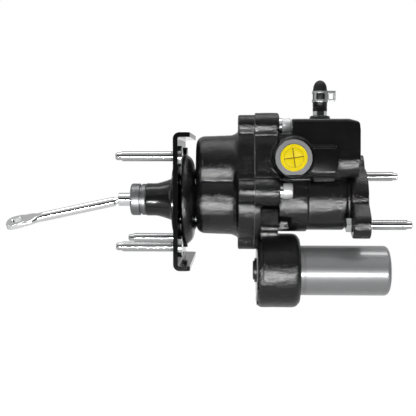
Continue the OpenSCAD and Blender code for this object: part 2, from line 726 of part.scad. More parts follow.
module output_housing() color("#1a1b1d") difference() {
    union() {
        bar(tube_x, out_flange_x - undercut_len, tube_r);
        bar(tube_x, out_flange_x + 1, undercut_r);
        along_x(out_flange_x, out_flange_t) out_flange_outline();
    }
    bar(tube_x + 4, out_face_x + 1, pilot_d / 2 - 1);
    bar(tube_x - 1, tube_x + 5, stem_d / 2 + 2);
    bar(out_face_x - pilot_depth, out_face_x + 1, pilot_d / 2);
    for (s = [-1, 1]) bar(out_flange_x - 1, out_face_x + 1, out_stud_r + shoulder + run_gap,
        s * out_stud_y, s * out_stud_z);
    // Relief where the valve block stands over the flange, except around the upper stud
    difference() {
        translate([out_flange_x - 30, -70, block_bottom - hole_gap])
            cube([block_end_x + 0.6 + hole_gap - out_flange_x + 30, 140, 80]);
        bar(out_flange_x, block_end_x + 2, stud_pocket_r - hole_gap, out_stud_y, out_stud_z);
    }
}

module flange_studs() color("#b9bbbd") for (s = [-1, 1])
    translate([out_face_x, s * out_stud_y, s * out_stud_z]) {
        turned([[0, -out_flange_t], [out_stud_r + shoulder, -out_flange_t], [out_stud_r + shoulder, 0],
            [out_stud_r, 0], [out_stud_r, out_stud_len - 5], [out_stud_r - 1, out_stud_len - 4.4],
            [out_stud_r - 1, out_stud_len - 0.8], [out_stud_r - 1.8, out_stud_len], [0, out_stud_len]]);
        translate([-out_flange_t - out_hex_t, 0, 0]) rotate([0, 90, 0])
            cylinder(h = out_hex_t, r = out_hex_r, $fn = 6);
    }

module port_plug(side) mirror([0, side < 0 ? 1 : 0, 0]) difference() {
    union() {
        cross_bar(port_y, port_y + 2, plug_head_d / 2, block_x + port_x, port_z);
        cross_bar(port_y - port_depth + 2, port_y + 1, port_bore_d / 2 - run_gap, block_x + port_x, port_z);
    }
    translate([block_x + port_x, port_y + 2, port_z]) rotate([0, 8, 0]) {
        cube([18, 1.2, 0.9], center = true);
        cube([0.9, 1.2, 18], center = true);
    }
}

module port_plugs() color("#ffe000") for (s = [-1, 1]) port_plug(s);

module port_o_rings() color("#101010") for (s = [-1, 1])
    translate([block_x + port_x, s * (port_y - port_depth - 1.2), port_z]) rotate([90, 0, 0])
        rotate_extrude($fn = 48) translate([seal_d / 2 - seal_wire_r, 0]) circle(r = seal_wire_r, $fn = 24);

module return_fitting() color("#c8cacc") translate([block_x + return_x, 0, 0]) difference() {
    union() {
        translate([0, 0, boss_top_z]) cylinder(h = fitting_h, r = 7.4, $fn = 6);
        translate([0, 0, boss_top_z - 11]) cylinder(h = 12, r = 6, $fn = 64);
        translate([0, 0, boss_top_z]) cylinder(h = fitting_h + 24, r = return_tube_d / 2, $fn = 64);
    }
    translate([0, 0, boss_top_z - 12]) cylinder(h = 60, r = 3, $fn = 48);
}

module return_cap() color("#19191a") translate([block_x + return_x, 0, cap_z])
    rotate_extrude($fn = 64) polygon(concat([[return_tube_d / 2 + run_gap, 0], [rubber_cap_d / 2 - 0.6, 0],
        [rubber_cap_d / 2, 0.6]], arc([rubber_cap_d / 2 - 4, rubber_cap_len - 4], 4, 0, 70, 6),
        [[0, rubber_cap_len], [0, 24.5], [return_tube_d / 2 + run_gap, 24.5]]));

// Spring clamp: a band with a window, and two square loops to squeeze
module hose_clamp() color("#c9cbcd") translate([block_x + return_x, 0, clamp_z]) {
    band_r = rubber_cap_d / 2 + run_gap;
    difference() {
        cylinder(h = clamp_h, r = band_r + clamp_t, $fn = 64);
        translate([0, 0, -1]) cylinder(h = clamp_h + 2, r = band_r, $fn = 64);
        translate([-3.5, -band_r - 3, clamp_h - 7]) cube([7, 6, 5]);
        translate([-3.5, band_r - 3, 2]) cube([7, 6, 4]);
    }
    for (s = [-1, 1]) translate([band_r, s * 3 - clamp_t / 2, 2.4]) difference() {
        translate([-0.4, 0, 0]) cube([9.4, clamp_t, 10.4]);
        translate([2.5, -1, 1.8]) cube([4.6, clamp_t + 2, 6.8]);
    }
}

module flow_bore_plug() color("#55585b") difference() {
    union() {
        bar(flow_plug_x, block_end_x - 1, flow_bore_d / 2 - run_gap, 0, flow_z);
        // Stop for the flow piston, inside its spring
        bar(flow_seat_x + flow_travel, flow_plug_x + 1, flow_bore_d / 2 - 6.2, 0, flow_z);
    }
    translate([block_end_x - 7, 0, flow_z]) rotate([0, 90, 0]) cylinder(h = 8, r = 5, $fn = 6);
}

module flow_piston() color("#9fa3a6") difference() {
    bar(flow_piston_x, flow_piston_x + flow_piston_len, flow_bore_d / 2 - run_gap, 0, flow_z);
    bar(flow_seat_x, flow_piston_x + flow_piston_len + 1, flow_bore_d / 2 - 3, 0, flow_z);
}

module flow_spring() color("#c0c2c4")
    coil_x(flow_seat_x, flow_plug_x, flow_bore_d / 2 - 4.4, 0.7, 8, flow_z);

module flow_switch_socket() color("#26282a") difference() {
    union() {
        cross_bar(block_half_w - 6, block_half_w + 9, 8, block_x + return_x, flow_z + 14);
        cross_bar(block_half_w, block_half_w + 3, 10, block_x + return_x, flow_z + 14);
    }
    cross_bar(block_half_w + 2, block_half_w + 10, 6, block_x + return_x, flow_z + 14);
}

// Pedal rod, drawn along -X from its ball and hung at its free angle
module push_rod() color("#dfe1e3") translate([pivot_x, 0, 0]) rotate([0, -rod_droop, 0]) difference() {
    union() {
        mirror([1, 0, 0]) turned(concat([[0, -ball_d / 2], [ball_d * 0.09, -ball_d / 2]],
            arc([0, 0], ball_d / 2, -78, acos(rod_neck_d / ball_d), 12),
            [[rod_neck_d / 2, rod_taper_s - 6], [rod_d / 2, rod_taper_s - 4.5],
            [rod_d / 2, rod_len - 38], [0, rod_len - 38]]));
        rotate([eye_roll, 0, 0]) {
            hull() {
                translate([-rod_len + 40, 0, 0]) rotate([0, 90, 0]) cylinder(h = 1, r = rod_d / 2 - 0.3, $fn = 32);
                translate([-rod_len + 1.25 * eye_w, 0, 0])
                    cube([0.1, eye_w * 0.8, eye_t], center = true);
            }
            translate([0, 0, -eye_t / 2]) linear_extrude(eye_t) polygon(concat(
                [[-rod_len + 1.25 * eye_w, -eye_w * 0.4], [-rod_len + 1.25 * eye_w, eye_w * 0.4]],
                arc([-eye_s, 0], eye_w / 2, 75, 285, 20)));
        }
    }
    rotate([eye_roll, 0, 0]) translate([-eye_s - 1, 0, -eye_t]) cylinder(h = 2 * eye_t, r = eye_bore_d / 2, $fn = 64);
}

module input_plunger() color("#cfd1d3") turned([[ball_d / 2 + 0.6, plunger_tip_x],
    [plunger_d / 2 - 0.4, plunger_tip_x], [plunger_d / 2, plunger_tip_x + 0.4],
    [plunger_d / 2, plunger_end_x], [nose_d / 2, plunger_end_x],
    [nose_d / 2, plunger_end_x + nose_len - 3], [1.5, plunger_end_x + nose_len],
    [0, plunger_end_x + nose_len], [0, pivot_x + ball_d / 2 + 0.08], [ball_d / 2 + 0.08, pivot_x + ball_d / 2 + 0.08],
    [ball_d / 2 + 0.08, pivot_x - 1.5], [ball_d / 2 + 0.6, pivot_x - 1.5],
    [ball_d / 2 + 0.6, pivot_x - 1.5 - ring_t - 0.1], [ball_d / 2 + 0.1, pivot_x - 1.6 - ring_t - 0.1],
    [ball_d / 2 + 0.1, plunger_tip_x + 1]]);

module ball_retainer() color("#8a8d90")
    tube(pivot_x - 1.55 - ring_t, pivot_x - 1.55, ball_d / 2 + 0.55, ball_d / 2 - 0.2);

module throttle_spring() color("#c0c2c4")
    coil_x(plunger_end_x, piston_x, 5.8, 0.55, 3);

module power_piston() color("#a7abae") difference() {
    turned([[0, piston_x], [piston_bore_d / 2 - run_gap - 1, piston_x], [piston_bore_d / 2 - run_gap, piston_x + 1],
        [piston_bore_d / 2 - run_gap, piston_x + 7],
        [piston_bore_d / 2 - piston_seal_depth, piston_x + 7],
        [piston_bore_d / 2 - piston_seal_depth, piston_x + 7 + piston_seal_w],
        [piston_bore_d / 2 - run_gap, piston_x + 7 + piston_seal_w],
        [piston_bore_d / 2 - run_gap, piston_end_x - 1], [piston_bore_d / 2 - run_gap - 1, piston_end_x],
        [0, piston_end_x]]);
    bar(piston_x - 1, plunger_end_x + nose_len + 2.5, nose_d / 2 + run_gap);
    bar(piston_end_x - socket_depth, piston_end_x + 1, stem_d / 3);
}

module piston_seal() color("#1a1a1a")
    tube(piston_x + 7 + run_gap, piston_x + 7 + piston_seal_w - run_gap,
        piston_bore_d / 2 - run_gap, piston_bore_d / 2 - piston_seal_depth + run_gap);

module piston_stem() color("#bfc2c5") turned([[0, piston_end_x - socket_depth + 0.5],
    [stem_d / 3 - run_gap, piston_end_x - socket_depth + 0.5], [stem_d / 3 - run_gap, piston_end_x],
    [stem_d / 2, piston_end_x], [stem_d / 2, stem_end_x - 1], [stem_d / 2 - 1, stem_end_x],
    [out_rod_d / 2 + run_gap, stem_end_x], [out_rod_d / 2 + run_gap, stem_end_x - out_socket_depth],
    [0, stem_end_x - out_socket_depth]]);

module output_rod() color("#c9cbce") turned(concat([[0, stem_end_x - out_socket_depth + run_gap],
    [out_rod_d / 2, stem_end_x - out_socket_depth + run_gap]],
    arc([0, 0], out_rod_d / 2, 0, 80, 6) * [[1, 0], [0, 0.6]] + [for (i = [0:6]) [0, out_rod_end_x - 3]],
    [[0, out_rod_end_x]]));

module rod_bumper() color("#181818")
    tube(stem_end_x + run_gap, stem_end_x + 3.5, stem_d / 2 - 0.5, out_rod_d / 2 + run_gap);

module return_spring() color("#b4b7ba")
    translate([piston_end_x + seat_gap, 0, 0]) rotate([0, 90, 0])
        coil(wall_x - piston_end_x - 2 * seat_gap, stem_d / 2 + 2.4 + spring_wire_r, spring_wire_r, 8, 6, 20);

module pump_housing() color("#1a1b1c") difference() {
    union() {
        turned(concat([[0, pump_x], [pump_r, pump_x]],
            [for (i = [0:6]) let (t = 90 * i / 6) [pump_r - pump_round + pump_round * cos(t),
                pump_end_x - pump_round + pump_round * sin(t)]],
            [[0, pump_end_x]]), -motor_drop);
        along_x(saddle_x, saddle_end_x - saddle_x) polygon(round_box(-saddle_half_w, saddle_foot_z,
            saddle_half_w, saddle_top_z, 3));
        along_x(saddle_x, saddle_end_x - saddle_x) polygon(round_box(-pump_neck_w, foot_z - foot_r,
            pump_neck_w, saddle_top_z, 3));
        along_x(pump_x, saddle_end_x - pump_x) polygon(round_box(-pump_neck_w, -motor_drop,
            pump_neck_w, foot_z, 3));
    }
    bar(saddle_x - 1, saddle_end_x + 1, inner_barrel_r + hole_gap);
    bar(block_x - 0.1, tube_x + 30, barrel_r + hole_gap);
    bar(pump_x - 1, pump_x + gear_w + 0.2, pocket_r, 0, -motor_drop);
    bar(pump_x - 1, pump_x + gear_w + 0.2, pocket_r, idler_y, -motor_drop);
    bar(pump_x, pump_end_x + 1, shaft_d / 2 + run_gap, 0, -motor_drop);
    bar(pump_x, pump_x + gear_w + 8, shaft_d / 2 + run_gap, idler_y, -motor_drop);
    bar(pump_end_x - bearing_t - lip_seal_t - 2, pump_end_x + 1, lip_seal_r + run_gap, 0, -motor_drop);
    bar(pump_end_x - bearing_t - 1, pump_end_x + 1, bearing_r + run_gap, 0, -motor_drop);
    for (s = [-1, 1]) bar(saddle_x - 1, saddle_x + 12, 4 + run_gap, s * neck_fix_y, neck_fix_z);
    for (p = cover_screws) bar(pump_x - 1, pump_x + 12, 2.5 + run_gap, p.x, p.y - motor_drop);
    translate([check_x, check_y, check_seat_z - check_seat_t])
        cylinder(h = 40, r = check_bore_r, $fn = 48);
    translate([check_x, check_y, -motor_drop + root_r]) cylinder(h = 40, r = check_hole_r, $fn = 32);
    // Seat of the motor's socket on the far side
    cross_bar(pump_r - 6, pump_r + 1, 7, pump_x + 18, -motor_drop);
}

module pump_cover() color("#1c1d1f") difference() {
    turned(concat([[0, pump_x], [pump_r, pump_x]],
        [for (i = [0:6]) let (t = 90 * i / 6) [pump_r - cover_round + cover_round * cos(t),
            cover_x + cover_round - cover_round * sin(t)]],
        [[0, cover_x]]), -motor_drop);
    // Room for the valve body's foot and for the pump housing's neck
    along_x(cover_x - 1, cover_t + 2) polygon(round_box(-pump_neck_w - hole_gap, foot_z - foot_r - hole_gap,
        pump_neck_w + hole_gap, 0, 3));
    bar(cover_x + 1.5, pump_x + 1, shaft_d / 2 + run_gap, 0, -motor_drop);
    bar(cover_x + 1.5, pump_x + 1, shaft_d / 2 + run_gap, idler_y, -motor_drop);
    bar(cover_x - 1, cover_x + 2, 9 + run_gap, 0, -motor_drop);
    for (p = cover_screws) flat_screw_hole(cover_x, cover_t + 8, 5, p.x, p.y - motor_drop);
}

module pump_cover_screws() color("#77797c") for (p = cover_screws)
    flat_screw(cover_x, cover_t + 10, 5, p.x, p.y - motor_drop);

module pump_end_plug() color("#121314") difference() {
    turned([[0, cover_x - 3.7], [9.5, cover_x - 3.7], [10.2, cover_x - 3], [10.2, cover_x - 2],
        [12.75, cover_x - 2], [12.75, cover_x], [9, cover_x], [9, cover_x + 1.4], [0, cover_x + 1.4]], -motor_drop);
    translate([cover_x - 4.7, 0, -motor_drop]) rotate([0, 90, 0]) cylinder(h = 3, r = 4.6, $fn = 6);
}

module pump_neck_screws() color("#77797c") for (s = [-1, 1])
    flat_screw(flange2_x, plate2_t + 10, 8, s * neck_fix_y, neck_fix_z);

module gear(turn, y) {
    difference() {
        translate([0, y, -motor_drop]) along_x(pump_x + 0.1, gear_w) polygon(gear_points(turn));
        bar(pump_x - 1, pump_x + gear_w + 2, shaft_d / 2 + 0.02, y, -motor_drop);
    }
}

module drive_gear() color("#9a9da0") gear(0, 0);

module idler_gear() color("#9a9da0") gear(180 + 180 / teeth * (1 - teeth % 2), idler_y);

module idler_shaft() color("#b5b8bb")
    bar(cover_x + 2, pump_x + gear_w + 7, shaft_d / 2, idler_y, -motor_drop);

module check_valve_seat() color("#a98545") translate([check_x, check_y, check_seat_z - check_seat_t])
    difference() {
        cylinder(h = check_seat_t, r = check_bore_r - run_gap, $fn = 48);
        translate([0, 0, -1]) cylinder(h = check_seat_t + 2, r = check_hole_r, $fn = 48);
    }

module check_valve_ball() color("#d5d7d9") translate([check_x, check_y, check_ball_z])
    sphere(r = check_ball_r, $fn = 32);

module check_valve_spring() color("#c0c2c4")
    translate([check_x, check_y, check_ball_z + check_ball_r * 0.5])
        coil(barrel_under_z - 1.2 - check_ball_z - check_ball_r * 0.5, 4.75, 0.5, 5, 6, 14);

module shaft_seal() color("#1b1b1b") tube(pump_end_x - bearing_t - lip_seal_t - 2 + run_gap,
    pump_end_x - bearing_t - 1 - run_gap, lip_seal_r, shaft_d / 2 + run_gap, 0, -motor_drop);

module front_bearing() color("#c2c5c8") difference() {
    tube(pump_end_x - bearing_t - 1 + run_gap, pump_end_x - 1, bearing_r, shaft_d / 2 + run_gap, 0, -motor_drop);
    tube(pump_end_x - 2, pump_end_x, bearing_r - 2.5, shaft_d / 2 + 2.2, 0, -motor_drop);
}

module rear_bush() color("#a98545") tube(rear_bush_x, can_end_x - end_bell_t - run_gap, rear_bush_r,
    shaft_d / 2 + run_gap, 0, -motor_drop);

module motor_can() color("#8d9093") turned(concat([[can_in_r, pump_end_x], [can_r - 0.8, pump_end_x],
    [can_r, pump_end_x + 0.8]], arc([can_r - can_bend_r, can_end_x - can_dome - can_bend_r], can_bend_r, 0, 65, 8),
    [[can_r * 0.55, can_end_x - can_dome * 0.3], [2, can_end_x], [0, can_end_x],
    [0, can_end_x - end_bell_t], [rear_bush_r + run_gap, can_end_x - end_bell_t],
    [rear_bush_r + run_gap, rear_bush_x], [rear_bush_r + 2.5, rear_bush_x],
    [rear_bush_r + 2.5, can_end_x - end_bell_t], [can_in_r - 3, can_end_x - end_bell_t],
    [can_in_r, can_end_x - end_bell_t - 3.5]]), -motor_drop);

module motor_magnets() color("#46484b") difference() {
    tube(magnet_x, magnet_x + magnet_len, can_in_r - run_gap, magnet_in_r, 0, -motor_drop);
    for (s = [-1, 1]) translate([magnet_x - 1, -8, -motor_drop + (s > 0 ? 0 : -can_r)])
        cube([magnet_len + 2, 16, can_r]);
}

module motor_shaft() color("#b5b8bb") bar(cover_x + 2, can_end_x - end_bell_t - 1, shaft_d / 2, 0, -motor_drop);

module armature_core() color("#6f7376") difference() {
    bar(core_x, core_x + core_len, armature_d / 2, 0, -motor_drop);
    bar(core_x - 1, core_x + core_len + 1, shaft_d / 2 + 0.02, 0, -motor_drop);
    for (i = [0:slots - 1]) translate([0, 0, -motor_drop]) rotate([i * 360 / slots, 0, 0])
        translate([core_x - 1, -1.6, armature_d / 2 - 8]) cube([core_len + 2, 3.2, 12]);
}

module winding_end(x) {
    tube(x, x + winding_len, armature_d / 2 - 2.5, shaft_d / 2 + 0.02, 0, -motor_drop);
}

module armature_windings() color("#b06a2c") {
    winding_end(core_x - winding_len);
    winding_end(core_x + core_len);
}

module commutator() color("#c07a3a") difference() {
    bar(commutator_x, commutator_x + commutator_len, commutator_d / 2, 0, -motor_drop);
    bar(commutator_x - 1, commutator_x + commutator_len + 1, shaft_d / 2 + 0.02, 0, -motor_drop);
    for (i = [0:slots - 1]) translate([0, 0, -motor_drop]) rotate([i * 360 / slots, 0, 0])
        translate([commutator_x - 1, -0.3, commutator_d / 2 - 1]) cube([commutator_len + 2, 0.6, 3]);
}

module motor_brushes() color("#2b2b2c") for (s = [-1, 1])
    translate([commutator_x + 2, s > 0 ? commutator_d / 2 + seat_gap : -commutator_d / 2 - seat_gap - 9,
        -motor_drop - brush_w / 2]) cube([brush_w + 0.5, 9, brush_w]);

module brush_plate() color("#3f3a30") tube(brush_plate_x, brush_plate_x + 2.5, can_in_r - run_gap,
    commutator_d / 2 + 1, 0, -motor_drop);

module motor_socket() color("#232527") difference() {
    union() {
        cross_bar(pump_r - 6, pump_r + 2, 7 - run_gap, pump_x + 18, -motor_drop);
        translate([pump_x + 9, pump_r, -motor_drop - 7]) cube([18, 12, 14]);
    }
    translate([pump_x + 11, pump_r + 3, -motor_drop - 5]) cube([14, 12, 10]);
}

mounting_bracket();
bracket_studs();
input_neck();
neck_screws();
neck_bush();
end_cap();
plunger_seal();
power_cylinder();
housing_gasket();
housing_bolts();
lock_washers();
valve_body();
stem_bush();
stem_seal();
output_housing();
flange_studs();
port_plugs();
port_o_rings();
return_fitting();
return_cap();
hose_clamp();
flow_bore_plug();
flow_piston();
flow_spring();
flow_switch_socket();
push_rod();
input_plunger();
ball_retainer();
throttle_spring();
power_piston();
piston_seal();
piston_stem();
output_rod();
rod_bumper();
return_spring();
pump_housing();
pump_cover();
pump_cover_screws();
pump_end_plug();
pump_neck_screws();
drive_gear();
idler_gear();
idler_shaft();
check_valve_seat();
check_valve_ball();
check_valve_spring();
shaft_seal();
front_bearing();
rear_bush();
motor_can();
motor_magnets();
motor_shaft();
armature_core();
armature_windings();
commutator();
motor_brushes();
brush_plate();
motor_socket();
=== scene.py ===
# %% [markdown]
# # Hydraulic brake booster, dressed in Blender
# This lesson takes the imported engineering model of a hydraulic brake booster and gives it the
# look of the real part: gloss black castings with a sandy skin, turned and plated steel, soft
# rubber and a yellow plastic plug.
#
# The engineering model is the frame. Every piece made here sits where that model says, in metres,
# so nothing has to be fitted by eye. The first cell loads the frame.

# %% Load the frame
import json
import math

import bmesh
import bpy
from mathutils import Euler, Matrix, Vector, noise


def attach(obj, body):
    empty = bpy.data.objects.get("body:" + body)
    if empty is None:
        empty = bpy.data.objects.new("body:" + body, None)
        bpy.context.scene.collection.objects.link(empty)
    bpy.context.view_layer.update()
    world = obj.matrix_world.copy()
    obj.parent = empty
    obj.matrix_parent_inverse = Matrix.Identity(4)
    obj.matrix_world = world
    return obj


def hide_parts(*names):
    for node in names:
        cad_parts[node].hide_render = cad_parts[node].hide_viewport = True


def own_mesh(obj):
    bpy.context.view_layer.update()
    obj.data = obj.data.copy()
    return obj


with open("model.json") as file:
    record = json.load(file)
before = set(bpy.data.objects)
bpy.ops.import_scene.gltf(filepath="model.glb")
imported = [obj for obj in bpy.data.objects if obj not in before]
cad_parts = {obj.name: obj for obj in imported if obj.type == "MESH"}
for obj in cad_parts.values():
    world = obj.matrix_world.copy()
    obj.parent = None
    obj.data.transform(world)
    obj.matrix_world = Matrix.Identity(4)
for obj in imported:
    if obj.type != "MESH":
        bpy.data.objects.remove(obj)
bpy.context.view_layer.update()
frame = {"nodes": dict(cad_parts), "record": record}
nodes = frame["nodes"]
MM = 0.001

# %% [markdown]
# ## Camera
# The photograph looks almost straight at the side of the booster, a little from above and a
# little from the right. A lens of about 65 mm from 0.8 m gives the same mild perspective: the near
# pressure port is a little larger than the far one, as it is in the photograph.

# %% Place the camera
CAMERA_PLACE = (0.0600, -0.7980, 0.0404)
CAMERA_YAW, CAMERA_PITCH = math.radians(1.98), math.radians(3.55)
LENS, SENSOR_WIDTH = 65.0, 36.0


def put(name, data):
    """Makes an object of the data and adds it to the scene."""
    obj = bpy.data.objects.new(name, data)
    bpy.context.scene.collection.objects.link(obj)
    return obj


camera_data = bpy.data.cameras.new("photo_camera")
camera_data.lens, camera_data.sensor_width = LENS, SENSOR_WIDTH
camera = put("photo_camera", camera_data)
camera.location = CAMERA_PLACE
camera.rotation_euler = (math.radians(90) - CAMERA_PITCH, 0.0, CAMERA_YAW)
bpy.context.scene.camera = camera
bpy.context.scene.view_settings.view_transform = "Standard"
print("camera at", [round(v, 3) for v in camera.location])

# %% [markdown]
# ## Studio
# Black gloss paint shows its shape only through what it reflects, so the studio matters more than
# the paint. The light comes from a wide soft box overhead and a long thin strip low in front,
# which draws the bright line along every barrel. Behind the camera the room is dark between a pale
# floor and a pale ceiling, so chrome gets its black line between two white bands.
#
# The camera itself sees a plain white world. Light Path tells camera rays from the others.

# %% Node helpers
def add(tree, kind, links=None, **settings):
    """Adds a node; settings are properties or input values, links are {input: socket}."""
    node = tree.nodes.new(kind)
    for key, value in settings.items():
        if hasattr(node, key):
            setattr(node, key, value)
        else:
            node.inputs[key.replace("_", " ")].default_value = value
    for key, socket in (links or {}).items():
        tree.links.new(socket, node.inputs[key])
    return node


def feed(tree, socket, value):
    """Sets an input to a number, or links another node's output into it."""
    if isinstance(value, (int, float)):
        socket.default_value = value
    else:
        tree.links.new(value, socket)


def calc(tree, operation, *values):
    """A Math node whose inputs may be numbers or sockets; returns its output."""
    node = tree.nodes.new("ShaderNodeMath")
    node.operation = operation
    for socket, value in zip(node.inputs, values):
        feed(tree, socket, value)
    return node.outputs[0]


def axes_of(tree, vector):
    """The X, Y and Z outputs of a vector."""
    return add(tree, "ShaderNodeSeparateXYZ", {0: vector}).outputs


def ramp(tree, value, stops):
    """A smooth colour ramp through (position, grey) stops."""
    node = tree.nodes.new("ShaderNodeValToRGB")
    node.color_ramp.interpolation = "EASE"
    while len(node.color_ramp.elements) < len(stops):
        node.color_ramp.elements.new(0.5)
    for element, (place, grey) in zip(node.color_ramp.elements, stops):
        element.position = place
        element.color = (grey, grey, grey, 1.0)
    tree.links.new(value, node.inputs[0])
    return node.outputs[0]


print("node helpers ready")

# %% Build the world
# A stop is (height of the ray, brightness), where height runs from 0 straight down to 1 straight up.
FRONT_ROOM = [(0.0, 0.36), (0.20, 0.4), (0.27, 0.62), (0.36, 0.62), (0.39, 0.03), (0.72, 0.03),
              (0.78, 0.5), (1.0, 0.7)]
BACK_ROOM = [(0.0, 0.5), (0.30, 0.6), (0.36, 1.0), (0.495, 1.0), (0.515, 0.5), (1.0, 0.5)]
# The back room turns into the front room as the ray's Y falls, this many times as fast.
ROOM_TURN = -3.0

world = bpy.data.worlds.new("studio")
bpy.context.scene.world = world
world.use_nodes = True
tree = world.node_tree
tree.nodes.clear()
direction = add(tree, "ShaderNodeTexCoord")
ray = axes_of(tree, direction.outputs["Generated"])
height = calc(tree, "MULTIPLY_ADD", ray["Z"], 0.5, 0.5)
front = calc(tree, "MULTIPLY_ADD", ray["Y"], ROOM_TURN, 0.5)
clamped = add(tree, "ShaderNodeClamp", {0: front})
room = add(tree, "ShaderNodeMix", data_type="RGBA")
tree.links.new(clamped.outputs[0], room.inputs["Factor"])
tree.links.new(ramp(tree, height, BACK_ROOM), room.inputs[6])
tree.links.new(ramp(tree, height, FRONT_ROOM), room.inputs[7])
studio = add(tree, "ShaderNodeBackground", {"Color": room.outputs[2]}, Strength=1.0)
white = add(tree, "ShaderNodeBackground", Color=(1, 1, 1, 1), Strength=1.0)
path = add(tree, "ShaderNodeLightPath")
chosen = add(tree, "ShaderNodeMixShader", {0: path.outputs["Is Camera Ray"],
                                           1: studio.outputs[0], 2: white.outputs[0]})
add(tree, "ShaderNodeOutputWorld", {"Surface": chosen.outputs[0]})
print("world stops:", len(FRONT_ROOM), "in front,", len(BACK_ROOM), "behind")

# %% Floor and lamps
FLOOR_Z, FLOOR_SIZE = -0.45, 1.5
FLOOR_GLOW, FLOOR_SHARE = 1.05, 0.93  # the camera sees this much glow, mixed in by this share


def studio_lamp(name, place, aim, width, depth, radiance):
    """A soft rectangular lamp that looks from place towards aim."""
    data = bpy.data.lights.new(name, "AREA")
    data.shape = "RECTANGLE"
    data.size, data.size_y = width, depth
    data.energy = radiance * math.pi * width * depth
    lamp = put(name, data)
    lamp.location = place
    lamp.rotation_euler = (Vector(aim) - Vector(place)).to_track_quat("-Z", "Y").to_euler()
    return lamp


studio_lamp("top_softbox", (0.07, 0.06, 1.05), (0.07, 0.0, 0.0), 1.5, 0.30, 4.5)
strip = studio_lamp("front_strip", (0.04, -0.85, -0.25), (0.04, 0.0, 0.0), 1.1, 0.045, 130.0)
strip.visible_diffuse = False
fill = studio_lamp("front_fill", (0.05, -1.1, 0.25), (0.05, 0.0, 0.0), 1.2, 0.8, 2.1)
fill.visible_glossy = False
studio_lamp("left_panel", (-1.0, -0.35, 0.35), (0.0, 0.0, 0.0), 0.5, 0.7, 1.6)

floor_mesh = bmesh.new()
bmesh.ops.create_grid(floor_mesh, x_segments=1, y_segments=1, size=FLOOR_SIZE)
bmesh.ops.translate(floor_mesh, verts=floor_mesh.verts, vec=(0.03, 0.3, FLOOR_Z))
mesh = bpy.data.meshes.new("studio_floor")
floor_mesh.to_mesh(mesh)
floor_mesh.free()
floor = put("studio_floor", mesh)

floor_paint = bpy.data.materials.new("pale_floor")
floor_paint.use_nodes = True
tree = floor_paint.node_tree
shader = tree.nodes["Principled BSDF"]
shader.inputs["Base Color"].default_value = (0.8, 0.8, 0.8, 1.0)
shader.inputs["Roughness"].default_value = 0.9
shader.inputs["Specular IOR Level"].default_value = 0.1
path = add(tree, "ShaderNodeLightPath")
shine = add(tree, "ShaderNodeEmission", Color=(1, 1, 1, 1), Strength=FLOOR_GLOW)
seen = calc(tree, "MULTIPLY", path.outputs["Is Camera Ray"], FLOOR_SHARE)
mixed = add(tree, "ShaderNodeMixShader", {0: seen, 1: shader.outputs[0], 2: shine.outputs[0]})
tree.links.new(mixed.outputs[0], tree.nodes["Material Output"].inputs["Surface"])
mesh.materials.append(floor_paint)
print("floor at", FLOOR_Z, "lamps:", len(bpy.data.lights))

# %% [markdown]
# ## Surface effects as node groups
# Several finishes share the same few effects: the sandy skin of a casting, wear on edges, the fine
# rings that a lathe leaves, and smudges that make gloss uneven. Each effect is a node group, built
# once and placed in each material with its own numbers. A group puts out only masks and heights.
# The shader stays in the material, where other programs can read it.

# %% Group helper
def effect(name, outputs, vector=True, **numbers):
    """Starts a node group with a vector input, named numbers and float outputs."""
    group = bpy.data.node_groups.new(name, "ShaderNodeTree")
    if vector:
        group.interface.new_socket(name="Vector", in_out="INPUT", socket_type="NodeSocketVector")
    for label, value in numbers.items():
        socket = group.interface.new_socket(name=label, in_out="INPUT", socket_type="NodeSocketFloat")
        socket.default_value = value
    for label in outputs:
        group.interface.new_socket(name=label, in_out="OUTPUT", socket_type="NodeSocketFloat")
    entry, leave = group.nodes.new("NodeGroupInput"), group.nodes.new("NodeGroupOutput")
    return group, entry.outputs, leave.inputs


def noise_value(group, vector, scale, detail=2.0, roughness=0.5):
    """Noise of a size given as features per metre."""
    node = add(group, "ShaderNodeTexNoise", {"Vector": vector}, Detail=detail, Roughness=roughness)
    feed(group, node.inputs["Scale"], scale)
    return node.outputs[0]


print("group helper ready")

# %% Sandy casting skin
WAVE_SHARE = 1.2  # height of the broad waves, as a share of the grain's

skin, g_in, g_out = effect("casting_skin", ["Height", "Mask"], Grain=620.0, Waves=90.0)
grain = noise_value(skin, g_in["Vector"], g_in["Grain"], detail=3.0, roughness=0.6)
waves = noise_value(skin, g_in["Vector"], g_in["Waves"], detail=1.0)
skin.links.new(calc(skin, "MULTIPLY_ADD", waves, WAVE_SHARE, grain), g_out["Height"])
skin.links.new(calc(skin, "MULTIPLY", grain, waves), g_out["Mask"])
print("casting_skin:", len(skin.nodes), "nodes")

# %% Worn edges
# The normal of a bevelled edge leans away from the face's own, so their difference marks the edges.
WEAR_PATCHES, WEAR_GAIN = 260.0, 9.0

wear, g_in, g_out = effect("edge_wear", ["Mask"], Radius=0.0008, Amount=1.0)
bevelled = add(wear, "ShaderNodeBevel", samples=4)
wear.links.new(g_in["Radius"], bevelled.inputs["Radius"])
plain = add(wear, "ShaderNodeNewGeometry")
alike = add(wear, "ShaderNodeVectorMath", {0: bevelled.outputs[0], 1: plain.outputs["Normal"]},
            operation="DOT_PRODUCT")
edge = calc(wear, "SUBTRACT", 1.0, alike.outputs["Value"])
patchy = noise_value(wear, g_in["Vector"], WEAR_PATCHES, detail=3.0)
worn = calc(wear, "MULTIPLY", edge, calc(wear, "MULTIPLY", patchy, WEAR_GAIN))
limited = add(wear, "ShaderNodeClamp", {0: calc(wear, "MULTIPLY", worn, g_in["Amount"])})
wear.links.new(limited.outputs[0], g_out["Mask"])
print("edge_wear:", len(wear.nodes), "nodes")

# %% Lathe rings
# On a surface turned about an axis along X the rings lie at equal X, and on its end faces at
# equal radius, so the sum of both distances gives rings on any turned face.
BROAD_RINGS = 0.17  # broad bands for each fine ring

